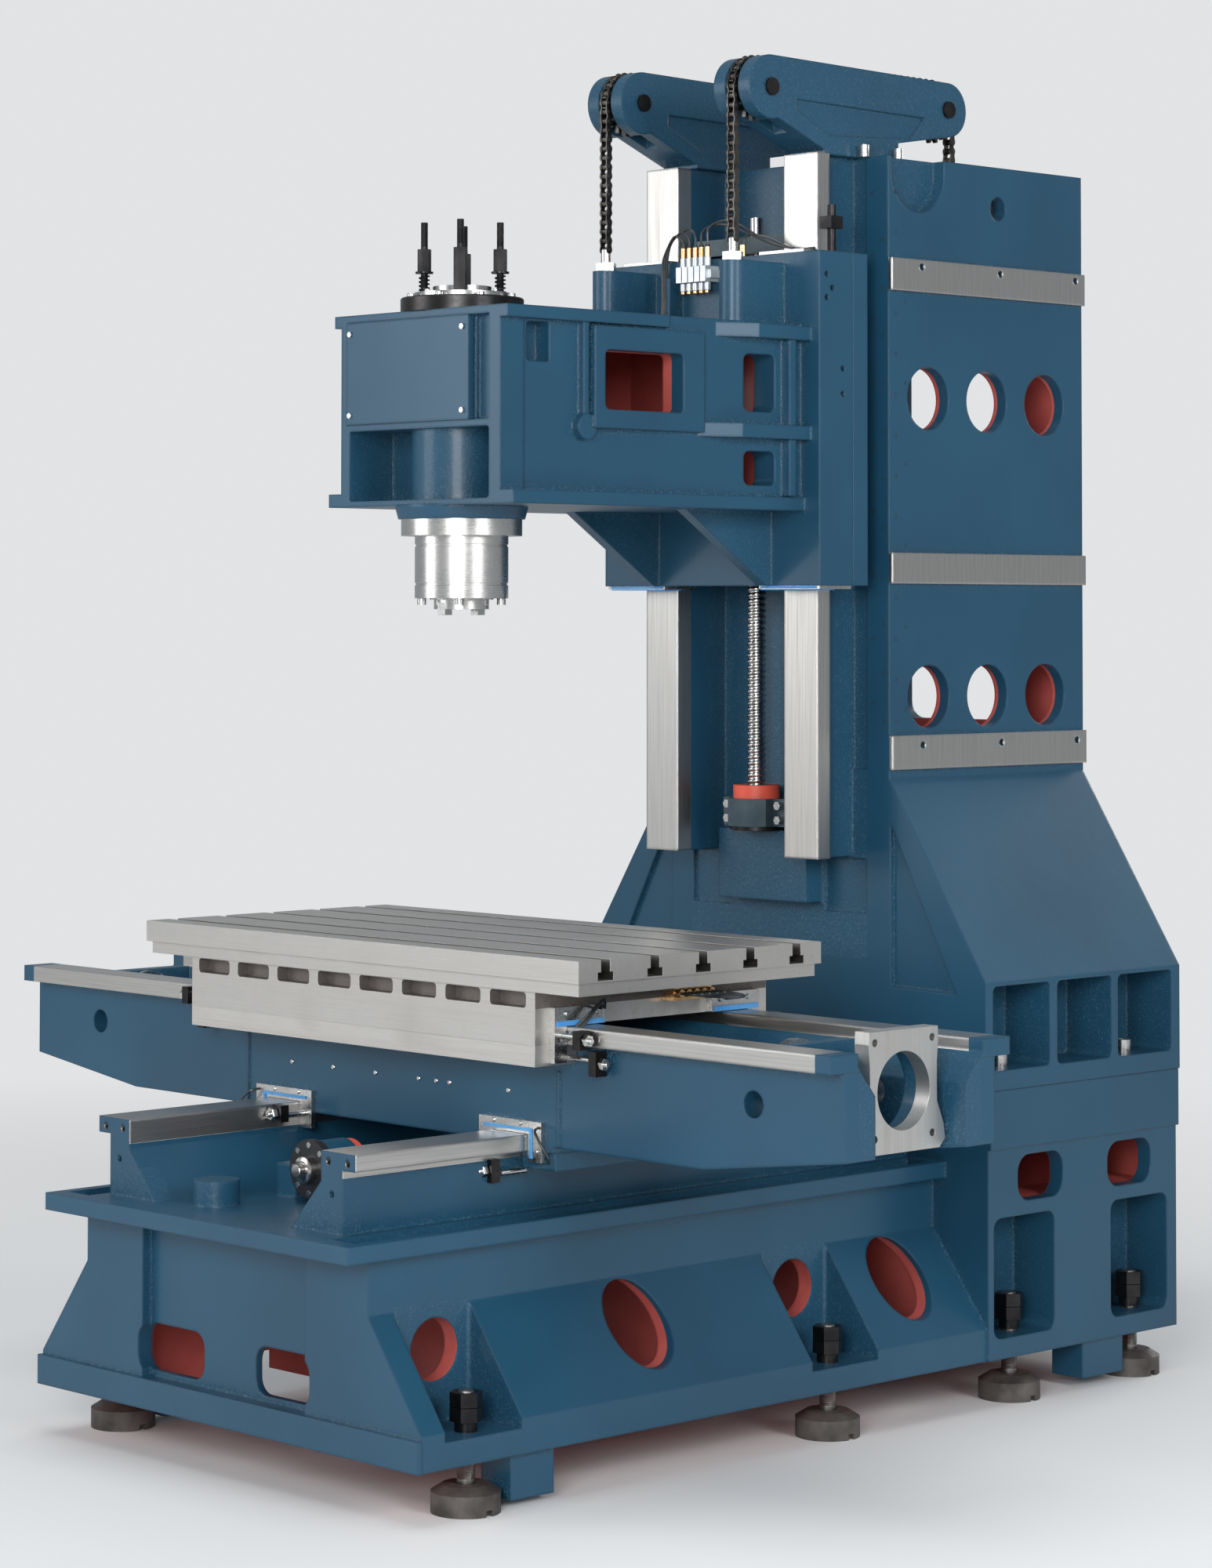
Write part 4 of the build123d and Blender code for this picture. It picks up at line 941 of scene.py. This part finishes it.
@dataclass
class SpindleTop:
    """Coil springs and the threads of the tie rods above the spindle."""

    offset: float = 42.0

    def build(self) -> None:
        """Make the springs in place of their sleeves, and thread the rods."""
        steel = OXIDE.material("spring_steel")
        form = Form()
        for x, y in ((-self.offset, -self.offset), (self.offset, self.offset)):
            turns, low, high = 4.5, 1766.6, 1794.4
            route = [(x + 7.6 * math.cos(a), SPINDLE_Y + y + 7.6 * math.sin(a),
                      low + (high - low) * a / (math.tau * turns))
                     for a in (math.tau * turns * i / 54 for i in range(55))]
            form.tube(route, 1.4, 6)
        form.piece("coil_springs", steel, Body.HEAD, "black_oxide", ["rod_springs"])
        rods = Form()
        for sx in SIDES:
            for sy in SIDES:
                x, y = sx * self.offset, SPINDLE_Y + sy * self.offset
                rods.thread((x, y, 1838), (0, 0, 1), 38, 5.75, 0.6, 1.75, 0.45, 14, ball=False)
                rods.turn((x, y, 1765), (0, 0, 1), [(5.2, 0), (5.5, 0.5), (5.5, 73.5)], 16)
        rods.piece("threaded_rods", steel, Body.HEAD, "black_oxide", ["tie_rods"])
        caps = Form()
        for k in range(8):
            a = math.tau * (k + 0.5) / 8
            caps.turn((85 * math.cos(a), SPINDLE_Y + 85 * math.sin(a), 1757), (0, 0, 1),
                      [(6, 0), (6, 4.5), (5.2, 5.5), (3, 5.5), (3, 2.5)], 14)
        for k in range(6):
            a = math.tau * (k + 0.25) / 6
            caps.turn((61 * math.cos(a), SPINDLE_Y + 61 * math.sin(a), 1765), (0, 0, 1),
                      [(4.5, 0), (4.5, 4), (3.8, 4.8)], 12)
        caps.piece("ring_screws", STEEL.material("ring_screw_steel"), Body.HEAD, "steel")


@dataclass
class Seals:
    """Blue lip seals under the wiper plates, with their screws."""

    plate: float = 8.0

    def build(self) -> None:
        """Make the seals for the saddle, the table and the slide."""
        blue = SEAL_BLUE.material("seal_polymer")
        steel = STEEL.material("wiper_screw_steel")
        form, screws = Form(), Form()
        front, back = (CROSS_Y + d * (SADDLE_HALF + self.plate) for d in SIDES)
        for s in SIDES:
            for y0, y1, d in ((front - 2.2, front + 0.5, -1), (back - 0.5, back + 2.2, 1)):
                form.slab((s * 206, y0, 505.5), (s * 310, y1, 510))
                form.slab((s * 305.5, y0, 466), (s * 310, y1, 505.5))
                for x, z in ((226, 515.5), (284, 515.5), (319, 477)):
                    screws.turn((s * x, front if d < 0 else back, z), (0, d, 0),
                                [(3.8, -1), (3.8, 1.5), (3.0, 2.4)], 12)
        form.piece("saddle_seals", blue, Body.SADDLE, "steel")
        screws.piece("saddle_wiper_screws", steel, Body.SADDLE, "steel")
        form, screws = Form(), Form()
        for s in SIDES:
            for t in SIDES:
                form.slab((s * 408.5, CROSS_Y + t * 116, 669.5),
                          (s * 411.2, CROSS_Y + t * 210, 677))
                for y in (130, 190):
                    screws.turn((s * 409, CROSS_Y + t * y, 687), (s, 0, 0),
                                [(4.2, -1), (4.2, 2), (3.2, 3)], 12)
        form.piece("table_seals", blue, Body.TABLE, "steel")
        screws.piece("table_wiper_screws", steel, Body.TABLE, "steel")
        form = Form()
        for s in SIDES:
            form.slab((s * 112, 212.6, 1307), (s * 236, 214.4, 1310.8))
            form.slab((s * 112, 214, 1304.4), (s * 236, 257, 1306.2))
        form.piece("slide_seals", blue, Body.HEAD, "steel")


@dataclass
class OilLines:
    """Formed metal oil pipes, each held at both ends on one body."""

    radius: float = 2.0
    outlets: tuple[float, ...] = (-41.2, -27.2, -13.2, 0.8, 14.8)
    outlet_y: float = 190.0

    def build(self) -> None:
        """Lay the pipes of the head, the table and the saddle."""
        grey = LINE_GREY.material("pipe_metal")
        head = Form()
        y = self.outlet_y
        for i, x in enumerate(self.outlets):
            reach = 1884 + 5 * i
            if i < 3:
                head.tube([(x, y, 1870), (x - 2, y, reach), (x - 22, 192, reach + 10),
                           (-84 + 5 * i, 196, reach - 8), (-99 + 5 * i, 199, 1850),
                           (-104 + 4 * i, 203, 1800), (-108 + 4 * i, 206, 1752)], self.radius)
            else:
                head.tube([(x, y, 1870), (x + 2, 192, reach), (x + 40, 206, reach + 8),
                           (118, 232, 1874), (170, 244, 1862), (200, 250, 1862)], self.radius)
            head.turn((x, y, 1872), (0, 0, 1), [(3.8, -2), (3.8, 3), (2.4, 5)], 6)
        head.tube([(55, 232, 1872), (60, 236, 1890), (96, 246, 1886), (150, 250, 1864),
                   (196, 256, 1859)], self.radius)
        head.piece("head_oil_pipes", grey, Body.HEAD, "black_oxide")
        barrels = Form()
        for x in self.outlets:
            for low, high in ((1800, 1814), (1840, 1856)):
                barrels.turn((x, y, low), (0, 0, 1), [
                    (4.6, 0), (5.5, 1), (5.5, high - low - 1), (4.6, high - low)], 14)
        barrels.piece("manifold_barrels", ALLOY.material("barrel_alloy"), Body.HEAD, "steel")
        table = Form()
        for s in SIDES:
            for i in range(3):
                x = s * (413 + 3.5 * i)
                table.tube([(s * 409, -430 - 8 * i, 690), (x + s * 6, -442 - 10 * i, 704 - 5 * i),
                            (x + s * 8, -470 - 9 * i, 688 - 7 * i), (x, -500 - 6 * i, 664 - 6 * i),
                            (s * 398, -520 - 5 * i, 652 - 6 * i)], self.radius)
        for i in range(5):
            y = -289.5 + 16 * i
            table.tube([(429, y, 703), (440, y, 703), (449, y + 8, 702), (446, y + 36, 698),
                        (430, -185 + 7 * i, 691), (411, -178 + 6 * i, 687)], self.radius)
        table.piece("table_oil_pipes", grey, Body.TABLE, "black_oxide")
        saddle = Form()
        for s in SIDES:
            saddle.tube([(s * 322, -483, 512), (s * 330, -496, 508), (s * 346, -500, 492),
                         (s * 352, -492, 474), (s * 342, -480, 462)], self.radius)
        saddle.piece("saddle_oil_pipes", grey, Body.SADDLE, "black_oxide")


@dataclass
class Adjusters:
    """Gib adjusters: a black block, a lock nut and a screw at each end of the guides."""

    def build(self) -> None:
        """Make the adjusters of the saddle and the table."""
        oxide = OXIDE.material("adjuster_oxide")
        steel = STEEL.material("adjuster_steel")
        blocks, screws = Form(), Form()
        for d in SIDES:
            face = CROSS_Y + d * SADDLE_HALF
            for x, z, reach, tall in ((270, 449, 284, 34), (-214, 487, -210, 26)):
                far = face + d * 62
                blocks.slab((x - 11, far, z - tall / 2), (x + 11, far - d * 16, z + tall / 2))
                screws.turn((x - 3, far, z), (0, d, 0),
                            [(7.5, -1), (7.5, 2), (10.5, 2), (10.5, 10), (9.5, 11)], 6)
                screws.turn((x - 3, far + d * 10, z), (0, d, 0), [(5, 0), (5, 5), (4, 6)], 14)
                screws.turn((reach, face, z - 3), (0, d, 0), [(4.5, -2), (4.5, 48)], 14)
        blocks.piece("saddle_adjusters", oxide, Body.SADDLE, "black_oxide")
        screws.piece("saddle_adjuster_screws", steel, Body.SADDLE, "steel")
        blocks, screws = Form(), Form()
        for s in SIDES:
            for t in SIDES:
                for off, z, tall in ((202, 653, 27), (170, 617, 36)):
                    y = CROSS_Y + t * off
                    blocks.slab((s * 445, y - 11, z - tall / 2), (s * 460, y + 11, z + tall / 2))
                    screws.turn((s * 460, y, z), (s, 0, 0),
                                [(6, -1), (6, 2), (9.5, 2), (9.5, 9), (8.5, 10)], 6)
                    screws.turn((s * 469, y, z), (s, 0, 0), [(4.5, 0), (4.5, 5), (3.5, 6)], 14)
                    screws.turn((s * 396, y, z + 4), (s, 0, 0), [(4, 0), (4, 50)], 12)
        blocks.piece("table_adjusters", oxide, Body.TABLE, "black_oxide")
        screws.piece("table_adjuster_screws", steel, Body.TABLE, "steel")


@dataclass
class SmallHoles:
    """Rows of tapped holes, drawn as discs of painted shade, and set screws on the flanges and
    rims.
    """

    def rows(self, form: Form, start: Point, end: Point, count: int, way: Point,
             radius: float) -> None:
        """Add a row of countersunk holes, shallow discs of painted shade, on the right and its
        mirror image on the left.

        Args:
            form: The piece being collected.
            start: Middle of the first hole.
            end: Middle of the last.
            count: How many there are.
            way: Outward normal of the face.
            radius: The hole's radius.
        """
        for s in SIDES:
            a, b, out = (Vector((s * v[0], *v[1:])) for v in (start, end, way))
            for i in range(count):
                form.turn(tuple(a.lerp(b, i / (count - 1))), tuple(out), [
                    (radius + 0.6, -0.6), (radius + 0.6, 0.25), (radius, 0.25),
                    (radius * 0.8, -0.4)], 12)

    def build(self) -> None:
        """Put the rows on the head, the column, the saddle and the bed."""
        # Painted shade: the holes are shallow discs coloured near-black in place of their shaded
        # depth.
        painted_shade = HOLE_SHADE.material("painted_hole_shade")
        steel = STEEL.material("set_screw_steel")
        head, bed, saddle, column = Form(), Form(), Form(), Form()
        aside, ahead = (1, 0, 0), (0, -1, 0)
        self.rows(head, (182.2, -426, 1470), (182.2, -426, 1700), 4, aside, 2.6)
        self.rows(head, (198.4, -90, 1443), (209.4, 160, 1443), 4, (1, 0.05, 0), 2.6)
        self.rows(column, (249, 392, 1090), (249, 392, 1960), 14, aside, 3.0)
        self.rows(column, (249, 416, 1110), (249, 416, 1780), 6, aside, 2.4)
        self.rows(column, (214, 375, 1120), (214, 375, 1960), 9, ahead, 3.0)
        self.rows(column, (236, 375, 1090), (236, 375, 1960), 12, ahead, 2.4)
        self.rows(bed, (240, -815, 490), (282, -815, 490), 2, ahead, 3.0)
        self.rows(saddle, (922.2, -490, 655), (922.2, -462, 655), 2, aside, 3.4)
        self.rows(saddle, (922.2, -172, 655), (922.2, -144, 655), 2, aside, 3.4)
        for name, form, body in (("head", head, Body.HEAD), ("column", column, Body.FRAME),
                                 ("bed", bed, Body.FRAME), ("saddle", saddle, Body.SADDLE)):
            form.piece(f"{name}_tapped_holes", painted_shade, body, "black_oxide")
        bright = Form()
        for x in (-250, -150, -50, 50, 90, 120, 250):
            bright.turn((x, -474.5, 560), (0, -1, 0), [(4, -0.5), (4, 1.2), (3, 2.2)], 12)
        bright.piece("saddle_set_screws", steel, Body.SADDLE, "steel")


@dataclass
class Studio:
    """Pale floor, soft lamps and the camera of the photograph."""

    place: Point = (4.52982, -4.44964, 1.27068)
    right: Point = (0.684296, 0.729203, 0.001670)
    upward: Point = (0.026240, -0.026914, 0.999293)
    back: Point = (0.728732, -0.683768, -0.037551)
    lens: float = 90.03
    shift: tuple[float, float] = (0.0488, -0.2048)
    backdrop: Colour = (0.80, 0.81, 0.82)
    glow: float = 0.95

    def camera(self) -> None:
        """Set the camera where the photograph was taken."""
        data = bpy.data.cameras.new("view")
        data.lens, data.sensor_width, data.sensor_fit = self.lens, 36.0, "AUTO"
        data.shift_x, data.shift_y = self.shift
        data.clip_end = 200.0
        obj = bpy.data.objects.new("view", data)
        rows = [[self.right[i], self.upward[i], self.back[i], self.place[i]] for i in range(3)]
        obj.matrix_world = Matrix(rows + [[0, 0, 0, 1]])
        bpy.context.scene.collection.objects.link(obj)
        bpy.context.scene.camera = obj

    def lamp(self, name: str, place: Point, aim: Point, size: float, power: float) -> None:
        """Hang one square soft lamp, in metres and watts."""
        data = bpy.data.lights.new(name, "AREA")
        data.shape, data.size, data.energy = "SQUARE", size, power
        obj = bpy.data.objects.new(name, data)
        obj.location = place
        obj.rotation_euler = (Vector(aim) - Vector(place)).to_track_quat("-Z", "Y").to_euler()
        bpy.context.scene.collection.objects.link(obj)

    def floor(self) -> None:
        """Lay the pale floor."""
        shader = Shader("pale_floor")
        grain = shader.noise(1.5, 3.0)
        shader.paint(Base_Color=shader.mix(grain, (0.80, 0.80, 0.80), (0.84, 0.84, 0.835)),
                     Roughness=0.7)
        reach = (shader.x * shader.x + shader.y * shader.y).math("SQRT")
        path = shader.node("ShaderNodeLightPath", {}, [], output="Is Camera Ray")
        shader.veil(shader.ramp(reach, 1.6, 4.6) * path, self.backdrop, self.glow)
        mesh = bpy.data.meshes.new("floor")
        mesh.from_pydata([(-30, -30, 0), (30, -30, 0), (30, 30, 0), (-30, 30, 0)], [],
                         [(0, 1, 2, 3)])
        obj = bpy.data.objects.new("floor", mesh)
        mesh.materials.append(shader.material)
        bpy.context.scene.collection.objects.link(obj)

    def sky(self) -> None:
        """Light the world softly and show a pale backdrop to the camera and to gloss."""
        world = bpy.data.worlds.new("studio")
        bpy.context.scene.world = world
        world.use_nodes = True
        graph = Graph(world.node_tree)
        soft = graph.node("ShaderNodeBackground", {}, [(0.80, 0.85, 0.90, 1.0), 0.40])
        pale = graph.node("ShaderNodeBackground", {}, [(*self.backdrop, 1.0), self.glow])
        seen = graph.node("ShaderNodeLightPath", {}, [], output="Is Camera Ray")
        graph.end("ShaderNodeOutputWorld", graph.node("ShaderNodeMixShader", {}, [
            seen, soft, pale]))

    def build(self) -> None:
        """Set up everything that isn't the machine."""
        self.camera()
        self.floor()
        self.sky()
        self.lamp("key", (4.0, -5.6, 2.3), (0, 0, 1.1), 2.4, 250)
        self.lamp("side", (6.4, -0.6, 3.0), (0, 0.3, 1.0), 2.4, 170)
        self.lamp("fill", (-3.6, -5.5, 2.8), (0, -0.2, 1.0), 3.0, 130)
        self.lamp("top", (0.0, -1.0, 6.5), (0, 0, 0.5), 3.5, 90)
        self.lamp("rim", (-0.4, 6.6, 3.4), (0, 0, 1.2), 2.0, 110)
        scene = bpy.context.scene
        scene.view_settings.view_transform = "Standard"


def main() -> None:
    """Build the studio and the machine's visible pieces in order."""
    logging.basicConfig(level=logging.INFO)
    for part in (Studio(), Castings(), BallScrews(), Chains(), Feet(), SpindleTop(), Seals(),
                 OilLines(), Adjusters(), SmallHoles()):
        part.build()
        LOG.info("%s built", type(part).__name__)


if __name__ == "__main__":
    main()
